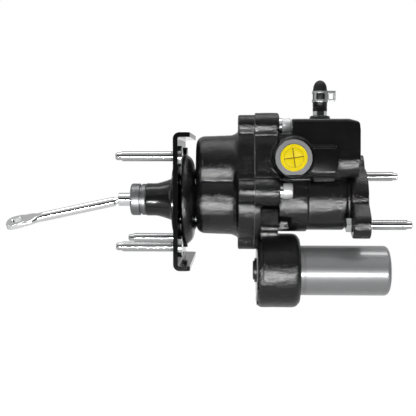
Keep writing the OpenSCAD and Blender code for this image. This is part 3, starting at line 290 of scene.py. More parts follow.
rings, g_in, g_out = effect("lathe_rings", ["Height", "Mask"], Pitch=0.0005)
place = axes_of(rings, g_in["Vector"])
squared = calc(rings, "MULTIPLY_ADD", place["Y"], place["Y"],
               calc(rings, "MULTIPLY", place["Z"], place["Z"]))
distance = calc(rings, "ADD", place["X"], calc(rings, "SQRT", squared))
travel = calc(rings, "DIVIDE", distance, g_in["Pitch"])
combined = add(rings, "ShaderNodeCombineXYZ", {0: travel})
stripes = noise_value(rings, combined.outputs[0], 1.0, detail=2.0, roughness=0.7)
rings.links.new(stripes, g_out["Height"])
broad = noise_value(rings, combined.outputs[0], BROAD_RINGS, detail=1.0)
rings.links.new(calc(rings, "MULTIPLY", stripes, broad), g_out["Mask"])
print("lathe_rings:", len(rings.nodes), "nodes")

# %% Smudges
smudge, g_in, g_out = effect("smudges", ["Value"], Low=0.2, High=0.4, Size=45.0)
cloud = noise_value(smudge, g_in["Vector"], g_in["Size"], detail=4.0, roughness=0.62)
limits = {"Value": cloud, "To Min": g_in["Low"], "To Max": g_in["High"]}
spread = add(smudge, "ShaderNodeMapRange", limits, From_Min=0.3, From_Max=0.7)
smudge.links.new(spread.outputs[0], g_out["Value"])
print("smudges:", len(smudge.nodes), "nodes")

# %% Bands between two places
band, g_in, g_out = effect("band", ["Mask"], vector=False, Value=0.0, From=0.0, To=1.0,
                           Softness=0.0002)
rise, fall = [calc(band, "DIVIDE", calc(band, "SUBTRACT", g_in[high], g_in[low]),
                   g_in["Softness"]) for low, high in (("From", "Value"), ("Value", "To"))]
inside = add(band, "ShaderNodeClamp", {0: calc(band, "MINIMUM", rise, fall)})
band.links.new(inside.outputs[0], g_out["Mask"])
print("band:", len(band.nodes), "nodes")

# %% [markdown]
# ## Finishes
# A finish is a Principled shader with its plain numbers on its own sockets, and patterns that
# feed colour, roughness and bump. Each slot name of the model's record gets one finish, so every
# piece, also those inside, has a real surface.

# %% Finish helper
FINISH = {}


class Finish:
    """A material under construction: the tree, its shader and the object's coordinates."""

    def __init__(self, name, colour, roughness, metallic=0.0, centre=(0.0, 0.0, 0.0),
                 turn=(0.0, 0.0, 0.0), **sockets):
        FINISH[name] = bpy.data.materials.new(name)
        FINISH[name].use_nodes = True
        self.tree = FINISH[name].node_tree
        self.shader = self.tree.nodes["Principled BSDF"]
        sockets.update(Base_Color=(*colour, 1.0), Roughness=roughness, Metallic=metallic)
        for key, value in sockets.items():
            self.shader.inputs[key.replace("_", " ")].default_value = value
        source = add(self.tree, "ShaderNodeTexCoord")
        place = add(self.tree, "ShaderNodeMapping", {"Vector": source.outputs["Object"]},
                    Location=tuple(-(Euler(turn).to_matrix() @ Vector(centre))), Rotation=turn)
        self.vector = place.outputs[0]

    def use(self, group, **values):
        """Places an effect group and returns its node."""
        node = self.tree.nodes.new("ShaderNodeGroup")
        node.node_tree = group
        for key, value in values.items():
            node.inputs[key].default_value = value
        if "Vector" in node.inputs:
            self.tree.links.new(self.vector, node.inputs["Vector"])
        return node

    def zones(self, limits, softness, operation):
        """A mask of bands (axis, from, to), joined by a Math operation."""
        place, total = axes_of(self.tree, self.vector), None
        for axis, low, high in limits:
            zone = self.use(band, From=low, To=high, Softness=softness)
            self.tree.links.new(place[axis], zone.inputs["Value"])
            total = calc(self.tree, operation, total, zone.outputs[0]) if total else zone.outputs[0]
        return total

    def tint(self, mask, colour):
        """Mixes another colour in where the mask is 1."""
        mix = add(self.tree, "ShaderNodeMix", data_type="RGBA")
        self.tree.links.new(mask, mix.inputs["Factor"])
        base = self.shader.inputs["Base Color"]
        if base.links:
            self.tree.links.new(base.links[0].from_socket, mix.inputs[6])
        else:
            mix.inputs[6].default_value = base.default_value
        mix.inputs[7].default_value = (*colour, 1.0)
        self.tree.links.new(mix.outputs[2], base)

    def steer(self, socket, value):
        """Feeds a value that varies over the surface into a socket of the shader."""
        self.tree.links.new(value, self.shader.inputs[socket])

    def bump(self, height, distance, strength=1.0):
        """Adds a bump on top of those before it."""
        node = add(self.tree, "ShaderNodeBump", {"Height": height}, Strength=strength,
                   Distance=distance)
        normal = self.shader.inputs["Normal"]
        if normal.links:
            self.tree.links.new(normal.links[0].from_socket, node.inputs["Normal"])
        self.tree.links.new(node.outputs[0], normal)


print("finish helper ready")

# %% [markdown]
# ### Painted iron
# The castings are dipped in gloss black over a sandy skin. The skin breaks every highlight into
# speckles, so it is a bump with grains of about two millimetres. On milled flats it is nearly even.
# The paint is thin on the edges, where a little grey iron shows.

# %% Black castings
BLACK, BARE_EDGE, BARE_IRON = (0.008, 0.0081, 0.0086), (0.05, 0.05, 0.052), (0.17, 0.172, 0.176)
EVENED = -0.85  # how much of the skin's height a smooth band takes away


def black_casting(name, bare=(), grain=500.0, depth=0.00062, gloss=(0.09, 0.15), specular=0.42,
                  smooth=()):
    """Gloss black over a sandy skin.

    bare is a list of (axis, from, to) bands of machined iron. Where every band of smooth applies,
    the skin is nearly even.
    """
    paint = Finish(name, BLACK, 0.2, Specular_IOR_Level=specular)
    sand = paint.use(skin, Grain=grain, Waves=90.0)
    edge = paint.use(wear, Radius=0.0009, Amount=0.2)
    paint.tint(edge.outputs["Mask"], BARE_EDGE)
    roughness = paint.use(smudge, Low=gloss[0], High=gloss[1]).outputs["Value"]
    relief = sand.outputs["Height"]
    if smooth:
        even = paint.zones(smooth, 0.004, "MULTIPLY")
        relief = calc(paint.tree, "MULTIPLY", relief,
                      calc(paint.tree, "MULTIPLY_ADD", even, EVENED, 1.0))
    paint.bump(relief, depth)
    if bare:
        metal_mask = paint.zones(bare, 0.0002, "MAXIMUM")
        paint.tint(metal_mask, BARE_IRON)
        paint.steer("Metallic", metal_mask)
        roughness = calc(paint.tree, "MULTIPLY_ADD", metal_mask, 0.2, roughness)
        lines = paint.use(rings, Pitch=0.0011)
        paint.bump(calc(paint.tree, "MULTIPLY", lines.outputs["Height"], metal_mask), 0.00006)
    paint.steer("Roughness", roughness)


black_casting("black_casting")
black_casting("neck_iron", bare=[("X", -0.0600, -0.0328)], grain=380.0, depth=0.00008,
              gloss=(0.16, 0.24))
black_casting("block_black", smooth=[("X", 0.110, 0.200), ("Z", 0.042, 0.120)])
black_casting("pump_black", smooth=[("Z", -0.0285, 0.010)])
black_casting("milled_black", grain=900.0, depth=0.00003, gloss=(0.12, 0.18), specular=0.15)
print("castings:", list(FINISH))

# %% Pressed and painted bracket
paint = Finish("bracket_paint", (0.006, 0.0061, 0.0065), 0.16, Specular_IOR_Level=0.4)
orange_peel = paint.use(skin, Grain=900.0, Waves=160.0)
paint.bump(orange_peel.outputs["Height"], 0.00003, 0.6)
edge = paint.use(wear, Radius=0.0005, Amount=0.2)
paint.tint(edge.outputs["Mask"], (0.06, 0.06, 0.062))
paint.steer("Roughness", paint.use(smudge, Low=0.06, High=0.10).outputs["Value"])
print("bracket paint ready")

# %% [markdown]
# ### Bare and plated metals
# Steel parts differ by how they were finished: plated fasteners are slightly milky, the rod is
# polished, turned parts carry fine rings. They share one recipe with different numbers.

# %% Metals
CALM = {"wear_amount": 0.0, "grain_depth": 0.000001}
WORN_STEEL = (0.9, 0.9, 0.9)
RING_SHADE, RING_ROUGHNESS, GRAIN_SHADE = 0.86, 0.12, 0.9


def metal(name, colour, low, high, ring_pitch=0.0, ring_depth=0.0, grain_size=900.0,
          grain_depth=0.000004, wear_amount=0.15, metallic=1.0, **settings):
    """A bare or plated metal, with lathe rings if a pitch is given."""
    steel = Finish(name, colour, (low + high) / 2, metallic, **settings)
    value = steel.use(smudge, Low=low, High=high, Size=70.0).outputs["Value"]
    if ring_pitch:
        lathe = steel.use(rings, Pitch=ring_pitch)
        steel.bump(lathe.outputs["Height"], ring_depth)
        value = calc(steel.tree, "MULTIPLY_ADD", lathe.outputs["Mask"], RING_ROUGHNESS, value)
        steel.tint(lathe.outputs["Mask"], tuple(c * RING_SHADE for c in colour))
    else:
        grain = steel.use(skin, Grain=grain_size, Waves=grain_size / 6)
        steel.bump(grain.outputs["Height"], grain_depth, 0.5)
        steel.tint(grain.outputs["Mask"], tuple(c * GRAIN_SHADE for c in colour))
    if wear_amount:
        edge = steel.use(wear, Radius=0.0004, Amount=wear_amount)
        steel.tint(edge.outputs["Mask"], WORN_STEEL)
    steel.steer("Roughness", value)


metal("zinc_steel", (0.70, 0.71, 0.72), 0.16, 0.30)
metal("bright_steel", (0.80, 0.81, 0.82), 0.05, 0.13, 0.0008, 0.000003, wear_amount=0.0)
metal("bolt_steel", (0.62, 0.625, 0.63), 0.32, 0.42, grain_size=1200.0, grain_depth=0.000005,
      metallic=0.3)
metal("clamp_steel", (0.36, 0.364, 0.37), 0.30, 0.38, metallic=0.5, **CALM)
metal("stud_steel", (0.52, 0.525, 0.53), 0.14, 0.18, **CALM)
metal("polished_rod", (0.84, 0.845, 0.85), 0.10, 0.14, wear_amount=0.0, grain_depth=0.0)
metal("port_iron", (0.09, 0.091, 0.093), 0.46, 0.56, 0.0009, 0.000010,
      centre=(0.1185, 0.0, 0.0439), turn=(0, 0, math.radians(90)))
metal("ground_steel", (0.60, 0.61, 0.62), 0.14, 0.24, 0.0006, 0.000006)
metal("spring_steel", (0.50, 0.51, 0.53), 0.22, 0.34)
metal("dark_screw", (0.20, 0.205, 0.21), 0.26, 0.42)
metal("piston_alloy", (0.62, 0.63, 0.65), 0.22, 0.34, 0.0005, 0.000008)
metal("bronze", (0.62, 0.44, 0.20), 0.22, 0.36, 0.0006, 0.000006)
metal("can_steel", (0.25, 0.253, 0.258), 0.30, 0.36, metallic=0.25, Coat_Weight=1.0,
      Coat_Roughness=0.03, **CALM)
metal("lamination", (0.30, 0.30, 0.31), 0.34, 0.46, 0.0005, 0.00003)
metal("copper", (0.72, 0.36, 0.18), 0.20, 0.36, 0.0009, 0.00004, centre=(0, 0, -0.0754))
metal("magnet", (0.09, 0.09, 0.095), 0.5, 0.62)
print("metals:", len(FINISH))

# %% [markdown]
# ### Rubber, plastic, paper and carbon
# Soft and moulded parts have no metal shine. Rubber has a fine matte bloom, the yellow plug is a
# moulded plastic with a waxy sheen, the gasket is pressed fibre.

# %% Rubbers and plastics
def soft(name, colour, low, high, grain_size, depth, light, **sockets):
    """Rubber, plastic, fibre or carbon: a grain, a slight mottle and uneven gloss."""
    stuff = Finish(name, colour, (low + high) / 2, 0.0, **sockets)
    grain = stuff.use(skin, Grain=grain_size, Waves=grain_size / 9)
    stuff.bump(grain.outputs["Height"], depth)
    stuff.tint(grain.outputs["Mask"], light)
    stuff.steer("Roughness", stuff.use(smudge, Low=low, High=high, Size=110.0).outputs["Value"])
    return stuff


soft("seal_rubber", (0.012, 0.012, 0.012), 0.38, 0.52, 1500.0, 0.00002, (0.03, 0.03, 0.03))
soft("cap_rubber", (0.010, 0.010, 0.0105), 0.34, 0.50, 1300.0, 0.00003, (0.026, 0.026, 0.027),
     Specular_IOR_Level=0.2)
soft("gasket", (0.03, 0.029, 0.028), 0.6, 0.8, 1100.0, 0.00005, (0.06, 0.058, 0.055))
yellow = soft("yellow_plug", (1.0, 0.79, 0.0), 0.42, 0.55, 800.0, 0.00001, (1.0, 0.82, 0.0),
              Specular_IOR_Level=0.08)
soft("black_plastic", (0.012, 0.012, 0.013), 0.28, 0.42, 1600.0, 0.00001, (0.03, 0.03, 0.031))
soft("brush_board", (0.12, 0.085, 0.04), 0.45, 0.6, 700.0, 0.00003, (0.2, 0.15, 0.08))
soft("carbon", (0.025, 0.025, 0.026), 0.4, 0.6, 1200.0, 0.00003, (0.06, 0.06, 0.062))
# The grooves of the plug's cross lie 61.2 to 61.5 mm from the middle plane. A brown tint there is
# painted shade in the grooves.
painted_groove_shade = yellow.use(band, From=0.0612, To=0.0615, Softness=0.00008)
depth = calc(yellow.tree, "ABSOLUTE", axes_of(yellow.tree, yellow.vector)["Y"])
yellow.tree.links.new(depth, painted_groove_shade.inputs["Value"])
yellow.tint(painted_groove_shade.outputs["Mask"], (0.26, 0.14, 0.0))
print("finishes:", sorted(FINISH))

# %% [markdown]
# ## Pieces
# A piece is built in a bmesh, turned into a mesh object that stays at the origin, smoothed, and
# told which body it rides on. Smooth shading with sharp edges kept by angle gives round barrels
# and crisp corners at once.

# %% Piece helper
BODY_OF = {name: body for body, members in frame["record"]["behaviour"]["bodies"].items()
           for name in members}


def piece(name, bm, slot, stands_for, finish=None, sharp=38.0):
    """Turns a bmesh into a finished piece that rides with the node it stands for."""
    bmesh.ops.remove_doubles(bm, verts=bm.verts, dist=1e-7)
    mesh = bpy.data.meshes.new(name)
    bm.to_mesh(mesh)
    bm.free()
    mesh.shade_smooth()
    mesh.set_sharp_from_angle(angle=math.radians(sharp))
    obj = put(name, mesh)
    mesh.materials.append(FINISH[finish or slot])
    first = stands_for if isinstance(stands_for, str) else stands_for[0]
    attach(obj, BODY_OF[first])
    if isinstance(stands_for, str):
        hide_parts(stands_for)
    print(name, "faces:", len(mesh.polygons))
    return obj


def cad_copy(node):
    """The node's mesh with its loose triangles merged."""
    bm = bmesh.new()
    bm.from_mesh(nodes[node].data)
    bmesh.ops.remove_doubles(bm, verts=bm.verts, dist=2e-6)
    return bm


print("bodies:", sorted(set(BODY_OF.values())))

# %% Mesh helpers
AXES = {"X": Vector((1, 0, 0)), "Y": Vector((0, 1, 0)), "Z": Vector((0, 0, 1))}
ACROSS = {"X": AXES["Z"], "Y": AXES["Z"], "Z": AXES["X"]}
VERT, EDGE = bmesh.types.BMVert, bmesh.types.BMEdge


def only(kind, elements):
    """Those elements of a mesh that are of one kind."""
    return [g for g in elements if isinstance(g, kind)]


def everything(bm):
    """All vertices, edges and faces."""
    return [*bm.verts, *bm.edges, *bm.faces]


def shift(bm, vec, verts=None):
    """Moves some vertices, or the whole mesh, by a vector in millimetres."""
    bmesh.ops.translate(bm, verts=bm.verts if verts is None else verts, vec=Vector(vec) * MM)


def turn(bm, degrees, axis):
    """Turns the whole mesh about an axis through the origin."""
    bmesh.ops.rotate(bm, verts=bm.verts, cent=(0, 0, 0),
                     matrix=Matrix.Rotation(math.radians(degrees), 3, axis))


def slice_off(bm, geom, place, normal):
    """Cuts away what lies beyond a plane and returns the edges of the cut."""
    cut = bmesh.ops.bisect_plane(bm, geom=geom, dist=1e-7, plane_co=place, plane_no=normal,
                                 clear_outer=True)
    return only(EDGE, cut["geom_cut"])


def ease(bm, edges, offset, segments=2):
    """Rounds edges by an offset in millimetres."""
    bmesh.ops.bevel(bm, geom=edges, offset=offset * MM, segments=segments, profile=0.5,
                    affect="EDGES", material=-1)


def loop_edges(bm, verts):
    """The edges between vertices of one loop."""
    members = set(verts)
    return [e for e in bm.edges if e.verts[0] in members and e.verts[1] in members]


def bridge(bm, loops):
    """Bridges each loop of vertices to the next."""
    for first, second in zip(loops, loops[1:]):
        bmesh.ops.bridge_loops(bm, edges=loop_edges(bm, first) + loop_edges(bm, second))


def outward(bm, close=False):
    """Turns all faces outward, after filling the open ends if asked."""
    if close:
        bmesh.ops.holes_fill(bm, edges=[e for e in bm.edges if e.is_boundary], sides=0)
    bmesh.ops.recalc_face_normals(bm, faces=bm.faces)
    return bm


print("mesh helpers ready")

# %% [markdown]
# ### Castings
# A sand casting has no sharp edge except where it was machined. The engineering solid has them
# all sharp. A voxel remesh turns the copy into an even skin, and a few rounds of smoothing melt
# its edges into fillets. First the machined planes are pushed out past where they belong. After
# the smoothing they are cut back with a plane, so they end crisp and flat.

# %% Casting helper
PUSH, ON_PLANE = 5, 2e-5
BORE_SLACK = (1.2 * MM, 0.9 * MM)  # how far a melted wall may lie inside and outside its bore
UNEVEN = ((0.10 * MM, 9 * MM), (0.06 * MM, 2.6 * MM))  # amounts and sizes of the mould's waves


def on_plane(bm, axis, place, near=None, reach=0.0):
    """Vertices on an axis plane, all of them or those within reach of a point."""
    return [v for v in bm.verts if abs(v.co.dot(AXES[axis]) - place) < ON_PLANE
            and (near is None or (v.co - near).length < reach)]


def skinned(bm, voxel, rounds):
    """Voxel remesh and smoothing, as a new bmesh."""
    mesh = bpy.data.meshes.new("rough")
    bm.to_mesh(mesh)
    bm.free()
    rough = put("rough", mesh)
    remesh = rough.modifiers.new("skin", "REMESH")
    remesh.mode = "VOXEL"
    remesh.voxel_size = voxel
    graph = bpy.context.evaluated_depsgraph_get()
    result = bmesh.new()
    result.from_mesh(rough.evaluated_get(graph).to_mesh())
    bpy.data.objects.remove(rough)
    for _ in range(rounds):
        bmesh.ops.smooth_vert(result, verts=result.verts, factor=0.5, use_axis_x=True,
                              use_axis_y=True, use_axis_z=True)
    return result


def cut_back(bm, axis, place, sign, near=None, reach=0.0):
    """Cuts what stands beyond a machined plane and closes the cut."""
    if near is None:
        faces = list(bm.faces)
    else:
        faces = [f for f in bm.faces if (f.calc_center_median() - near).length < reach]
    edges = {e for f in faces for e in f.edges}
    verts = {v for f in faces for v in f.verts}
    normal = AXES[axis] * sign
    cut = slice_off(bm, [*verts, *edges, *faces], AXES[axis] * place, normal)
    bmesh.ops.triangle_fill(bm, edges=[e for e in cut if e.is_boundary], use_beauty=True,
                            normal=normal)


def true_bore(bm, radius, y, z, x0, x1):
    """Sets the wall of a bore along X back to its exact radius."""
    for v in bm.verts:
        if x0 < v.co.x < x1:
            away = Vector((0, v.co.y - y, v.co.z - z))
            if radius - BORE_SLACK[0] < away.length < radius + BORE_SLACK[1]:
                v.co += away.normalized() * (radius - away.length)


def uneven(bm, amount, size):
    """Moves the skin in and out by a smooth noise, as sand moulds do."""
    bm.normal_update()
    for v in bm.verts:
        v.co += v.normal * noise.noise(v.co / size) * amount


def casting(node, planes, voxel=1.15, rounds=5, bores=(), finish=None, moves=(), reshape=None):
    """A remeshed copy of a node. All lengths are in millimetres.

    A machined plane is (axis, place, sign), followed by (near, reach) if it is only round a point.
    A bore is (radius, y, z, from, to). moves shifts the vertices that a test chooses.
    """
    planes = [(*plane[:3], *[value * MM for value in plane[3:]]) for plane in planes]
    bm = cad_copy(node)
    for chosen, vec in moves:
        shift(bm, vec, [v for v in bm.verts if chosen(v.co / MM)])
    for axis, place, sign, *zone in planes:
        shift(bm, AXES[axis] * sign * PUSH, on_plane(bm, axis, place * MM, *zone))
    bm = skinned(bm, voxel * MM, rounds)
    for amount, size in UNEVEN:
        uneven(bm, amount, size)
    if reshape:
        for v in bm.verts:
            reshape(v)
    for bore in bores:
        true_bore(bm, *[value * MM for value in bore])
    for axis, place, sign, *zone in planes:
        cut_back(bm, axis, place * MM, sign, *zone)
    return piece(node + "_casting", bm, "black_casting", node, finish, sharp=50.0)


GASKET_X, VALVE_X, TUBE_X, OUT_X = 80.6, 81.4, 136.7, 197.0
PORT_X, PORT_Y, PORT_Z, PORT_REACH = 118.5, 60.0, 43.9, 21.0
print("machined planes at X", GASKET_X, VALVE_X, TUBE_X, OUT_X)

# %% Power cylinder, end cap
# The cylinder's body is two round lobes that run into each other, one on the piston's axis and one
# above it, so its sides are drawn in along the line where the lobes meet.
LOW_R, HIGH_R, HIGH_Z = 36.0, 33.0, 34.0
WALL_IN, FLANGE_X, FADE, BLEND = 27.0, 63.5, 4.0, 0.7


def waist(v):
    """Draws the straight sides in to a soft valley between the lobes, and fades at the flange."""
    x, y, z = v.co / MM
    if not 0 < z < HIGH_Z or math.hypot(y, z) < WALL_IN or x > FLANGE_X:
        return
    straight = LOW_R + (HIGH_R - LOW_R) * z / HIGH_Z
    low = math.sqrt(LOW_R ** 2 - z ** 2)
    high = math.sqrt(max(1.0, HIGH_R ** 2 - (HIGH_Z - z) ** 2))
    valley = math.log(math.exp(low / BLEND) + math.exp(high / BLEND)) * BLEND
    fade = min(1.0, (FLANGE_X - x) / FADE)
    fade = fade * fade * (3 - 2 * fade)
    v.co.y = math.copysign(abs(y) - fade * max(0.0, straight - valley), y) * MM


casting("power_cylinder", [("X", GASKET_X, 1)], reshape=waist,
        bores=[(25, 0, 0, 31, GASKET_X + 4), (7.3, 0, 0, 26, 29)])
casting("end_cap", [("X", 4.7, -1)], voxel=1.1, rounds=4)

# %% Valve body
# The notch behind the upper bolt heads is a pocket: its wall comes forward on the cheeks.
ports = [("Y", side * PORT_Y, side, Vector((PORT_X, side * PORT_Y, PORT_Z)), PORT_REACH)
         for side in (-1, 1)]
NOTCH_X, NOTCH_Z, POCKET_X = 119.5, 67, 117.3
casting("valve_body", [("X", VALVE_X, -1), *ports], voxel=1.25, finish="block_black",
        bores=[(18, 0, 0, VALVE_X - 4, 119), (12.05, 0, 0, 121, 129), (9, 0, 52, 116, 184)],
        moves=[(lambda co: abs(co.x - NOTCH_X) < 0.3 and co.z > NOTCH_Z, (POCKET_X - NOTCH_X, 0, 0))])

# %% Output housing, pump housing and pump cover
FOOT_X, FOOT_Z, FOOT_Y, MELTED = (89.5, 104.5), (-27.5, -11.5), 30.0, 1.1


def flat_cheeks(v):
    """Makes the sides of the pump's foot flat again."""
    x, y, z = v.co / MM
    if FOOT_X[0] < x < FOOT_X[1] and FOOT_Z[0] < z < FOOT_Z[1] and abs(y) > FOOT_Y - MELTED:
        v.co.y = math.copysign(FOOT_Y, y) * MM


casting("output_housing", [("X", OUT_X, 1), ("X", TUBE_X, -1)], voxel=1.1,
        bores=[(21, 0, 0, 184, OUT_X + 4)])
casting("pump_housing", [("X", 90, -1, Vector((90, 0, -95.4)), 40), ("X", 129, 1), ("X", 88, -1)],
        voxel=1.2, finish="pump_black", reshape=flat_cheeks)
casting("pump_cover", [("X", 90, 1)], voxel=1.0, rounds=3)

# %% [markdown]
# ### Turned parts
# The neck, the plunger, the motor can and every plug are turned parts, so each is a profile spun
# about its axis. A profile is a list of (place along the axis, radius) points in millimetres. It
# starts and ends on the axis, or closes on itself where the part is a tube. Spin makes the same
# round wall as a lathe does, with far more steps than the engineering mesh needs.

# %% Turning helper
def turned(profile, axis="X", centre=(0, 0, 0), steps=96, tube=False):
    """Spins (along, radius) points in millimetres about an axis through centre."""
    bm = bmesh.new()
    middle = Vector(centre) * MM
    verts = [bm.verts.new(middle + (AXES[axis] * along + ACROSS[axis] * radius) * MM)
             for along, radius in profile]
    following = verts[1:] + verts[:1] if tube else verts[1:]
    edges = [bm.edges.new(pair) for pair in zip(verts, following)]
    bmesh.ops.spin(bm, geom=verts + edges, cent=middle, axis=AXES[axis], angle=math.tau, steps=steps,
                   use_merge=True, dvec=(0, 0, 0))
    bmesh.ops.remove_doubles(bm, verts=bm.verts, dist=1e-6)
    return outward(bm)


def rounded(along, radius, corner, start, end, count=6):
    """Profile points of a quarter round; start and end are angles from the axis direction."""
    angles = [math.radians(start + (end - start) * i / count) for i in range(count + 1)]
    return [(along + corner * math.cos(a), radius + corner * math.sin(a)) for a in angles]


def join(*parts):
    """Puts several bmeshes into the first."""
    for part in parts[1:]:
        mesh = bpy.data.meshes.new("joined")
        part.to_mesh(mesh)
        part.free()
        parts[0].from_mesh(mesh)
        bpy.data.meshes.remove(mesh)
    return parts[0]


def placed(bm, places):
    """Copies what is in the bmesh to several places given in millimetres."""
    original = everything(bm)
    for place in places[1:]:
        copy = bmesh.ops.duplicate(bm, geom=original)
        shift(bm, place, only(VERT, copy["geom"]))
    shift(bm, places[0], only(VERT, original))
    return bm


print("turning helper ready")

# %% Neck
# Along X: mouth, machined collar, boot groove, machined ring, painted neck, flare and flange.
flare = [(-22.8 + 15.8 * k, 17.25 + 4.5 * k ** 1.3) for k in (i / 12 for i in range(1, 13))]
neck_profile = ([(-39.3, 11.0), (-49.3, 13.5)] + rounded(-46.8, 14.4, 2.5, 180, 90)
                + [(-39.7, 16.9), (-39.3, 16.5), (-39.1, 15.2), (-37.6, 15.2), (-37.4, 16.2),
                   (-37.0, 16.6), (-33.8, 16.6), (-33.4, 16.3), (-33.0, 16.7), (-31.9, 17.25),
                   (-22.8, 17.25)] + flare
                + [(-5.9, 22.7), (-5.0, 24.0), (-4.5, 26.2), (-4.5, 33.2), (-4.2, 33.8), (-3.5, 34.0),
                   (0.8, 34.0), (0.8, 20.0), (20.5, 20.0), (20.5, 10.05), (-24.0, 10.05),
                   (-24.0, 11.0)])
piece("neck_turned", turned(neck_profile, steps=144, tube=True), "neck_iron", "input_neck", sharp=32.0)

# %% Plunger sleeve
sleeve = [(-51.92, 0.0), (-51.92, 5.08), (-58.5, 5.08), (-58.5, 5.6), (-62.6, 5.6), (-63.0, 5.9),
          (-63.0, 6.3), (-62.7, 6.8), (-62.1, 7.0), (26.0, 7.0), (26.0, 4.5), (38.0, 4.5), (41.0, 1.5),
          (41.0, 0.0)]
piece("plunger_turned", turned(sleeve), "bright_steel", "input_plunger", sharp=30.0)

# %% [markdown]
# ### Threads
# A thread is a ridge that climbs as it goes round. Spin does this too: its dvec moves the profile
# along the axis at each step. The profile is one pitch long and ends at the radius where it
# started, so each turn meets the next. The two open ends are filled, which closes the shell.

# %% Thread helper
def thread(start, end, radius, pitch, depth, crest, steps=32):
    """A closed threaded rod along X from start to end; crest is the flat share of a pitch."""
    bm = bmesh.new()
    flank = (1 - crest) / 2 * pitch
    rise = [(0.0, radius - depth), (flank, radius), (pitch - flank, radius), (pitch, radius - depth)]
    verts = [bm.verts.new(Vector((start + along, 0, r)) * MM) for along, r in rise]
    edges = [bm.edges.new(pair) for pair in zip(verts, verts[1:])]
    turns = round((end - start) / pitch) - 1
    bmesh.ops.spin(bm, geom=verts + edges, cent=(0, 0, 0), axis=(1, 0, 0), angle=math.tau * turns,
                   steps=steps * turns, dvec=(pitch / steps * MM, 0, 0))
    bmesh.ops.remove_doubles(bm, verts=bm.verts, dist=2e-6)
    return outward(bm, close=True)


print("thread helper ready")

# %% Bracket studs
HEAD = [(4.7, 0.0), (4.7, 10.5), (7.4, 10.5)] + rounded(7.4, 9.7, 0.8, 90, 0, 4) + [(8.2, 0.0)]
TIP = [(-59.0, 0.0), (-59.0, 2.2), (-58.7, 2.9), (-57.9, 3.6), (-57.3, 3.9), (-53.2, 3.9),
       (-52.2, 4.25), (-52.2, 0.0)]
SHANK = [(-52.6, 0.0), (-52.6, 4.2), (-2.0, 4.2), (-1.4, 5.0), (0.0, 5.0), (0.0, 5.5), (4.9, 5.5),
         (4.9, 0.0)]
stud = join(*[turned(profile, steps=48) for profile in (HEAD, TIP, SHANK)],
            thread(-52.8, -1.2, 5.0, 1.25, 0.09, 0.75))
places = [(0, y, z) for y in (-45, 45) for z in (-45.5, 45.5)]
piece("studs_threaded", placed(stud, places), "zinc_steel", "bracket_studs", finish="stud_steel",
      sharp=30.0)

# %% Master cylinder studs
# The hexagon starts as a six-sided disc; extruding and a small bevel give its chamfered head.
ROD = [(-17.5, 0.0), (-17.5, 5.5), (0.0, 5.5), (0.0, 5.0), (3.0, 5.0), (3.6, 4.2), (37.4, 4.2),
       (37.6, 3.95), (41.6, 3.95), (42.3, 3.3), (42.5, 2.6), (42.5, 0.0)]


def hexagon(start, end, across, bevel):
    """A hexagonal head along X with rounded edges."""
    bm = bmesh.new()
    bmesh.ops.create_cone(bm, cap_ends=True, segments=6, radius1=across * MM, radius2=across * MM,
                          depth=(end - start) * MM)
    turn(bm, 90, "Y")
    shift(bm, ((start + end) / 2, 0, 0))
    ease(bm, bm.edges, bevel)
    return bm


stud = join(turned(ROD, steps=48), thread(3.2, 37.8, 5.0, 1.5, 0.25, 0.5),
            hexagon(-24.0, -17.5, 8.1, 0.5))
piece("output_studs_threaded", placed(stud, [(OUT_X, -36, -23.7), (OUT_X, 36, 23.7)]), "zinc_steel",
      "flange_studs", finish="stud_steel", sharp=30.0)

# %% [markdown]
# ### Housing bolts
# These are cap screws. Their heads are knurled for grip, and each has a hexagonal socket in its
# end. Every second side vertex of a fine cylinder is pulled in for the knurl. The socket is a
# hexagon whose sides are divided until they match the round rim, then both loops are bridged.

# %% Cap screws
KNURL, SOCKET_R, SOCKET_DEPTH = 0.02, 4.6, 5


def stand_up(verts, along):
    """Turns a circle that lies on XY to stand across X at a place in millimetres."""
    for v in verts:
        v.co = Vector((v.co.z + along * MM, v.co.x, v.co.y))


def knurled_head(start, length, radius, ridges=54):
    """A knurled round head along X with a hexagonal socket."""
    bm = bmesh.new()
    loops = []
    for along, r, knurl in ((0.0, radius - 0.6, 0), (0.35, radius, 1), (length - 1.5, radius, 1),
                            (length - 0.55, radius - 0.35, 0.5), (length - 0.12, radius - 0.9, 0),
                            (length, radius - 1.6, 0)):
        loop = bmesh.ops.create_circle(bm, segments=2 * ridges, radius=r * MM)["verts"]
        for v in loop[1::2]:
            v.co *= 1 - knurl * KNURL
        stand_up(loop, start + along)
        loops.append(loop)
    bridge(bm, loops)
    bmesh.ops.contextual_create(bm, geom=loops[0])
    socket = bmesh.ops.create_circle(bm, segments=6, radius=SOCKET_R * MM)["verts"]
    sides = [e for e in bm.edges if set(e.verts) <= set(socket)]
    cut = bmesh.ops.subdivide_edges(bm, edges=sides, cuts=2 * ridges // 6 - 1)
    rim = list({v for e in only(EDGE, cut["geom"]) for v in e.verts})
    stand_up(rim, start + length)
    inner = loop_edges(bm, rim)
    bmesh.ops.bridge_loops(bm, edges=inner + loop_edges(bm, loops[-1]))
    deep = only(VERT, bmesh.ops.extrude_edge_only(bm, edges=inner)["geom"])
    shift(bm, (-SOCKET_DEPTH, 0, 0), deep)
    bmesh.ops.contextual_create(bm, geom=deep)
    return outward(bm)


bolt_rod = turned([(67.0, 0.0), (67.0, 4.0), (68.0, 5.0), (109.2, 5.0), (109.2, 0.0)], steps=40)
bolt = join(knurled_head(109.0, 9.5, 7.8), bolt_rod)
BOLTS = [(0, s * y, z) for s in (-1, 1) for y, z in ((20, 76.7), (47, 10.8))]
piece("cap_screws", placed(bolt, BOLTS), "bright_steel", "housing_bolts", finish="bolt_steel",
      sharp=40.0)

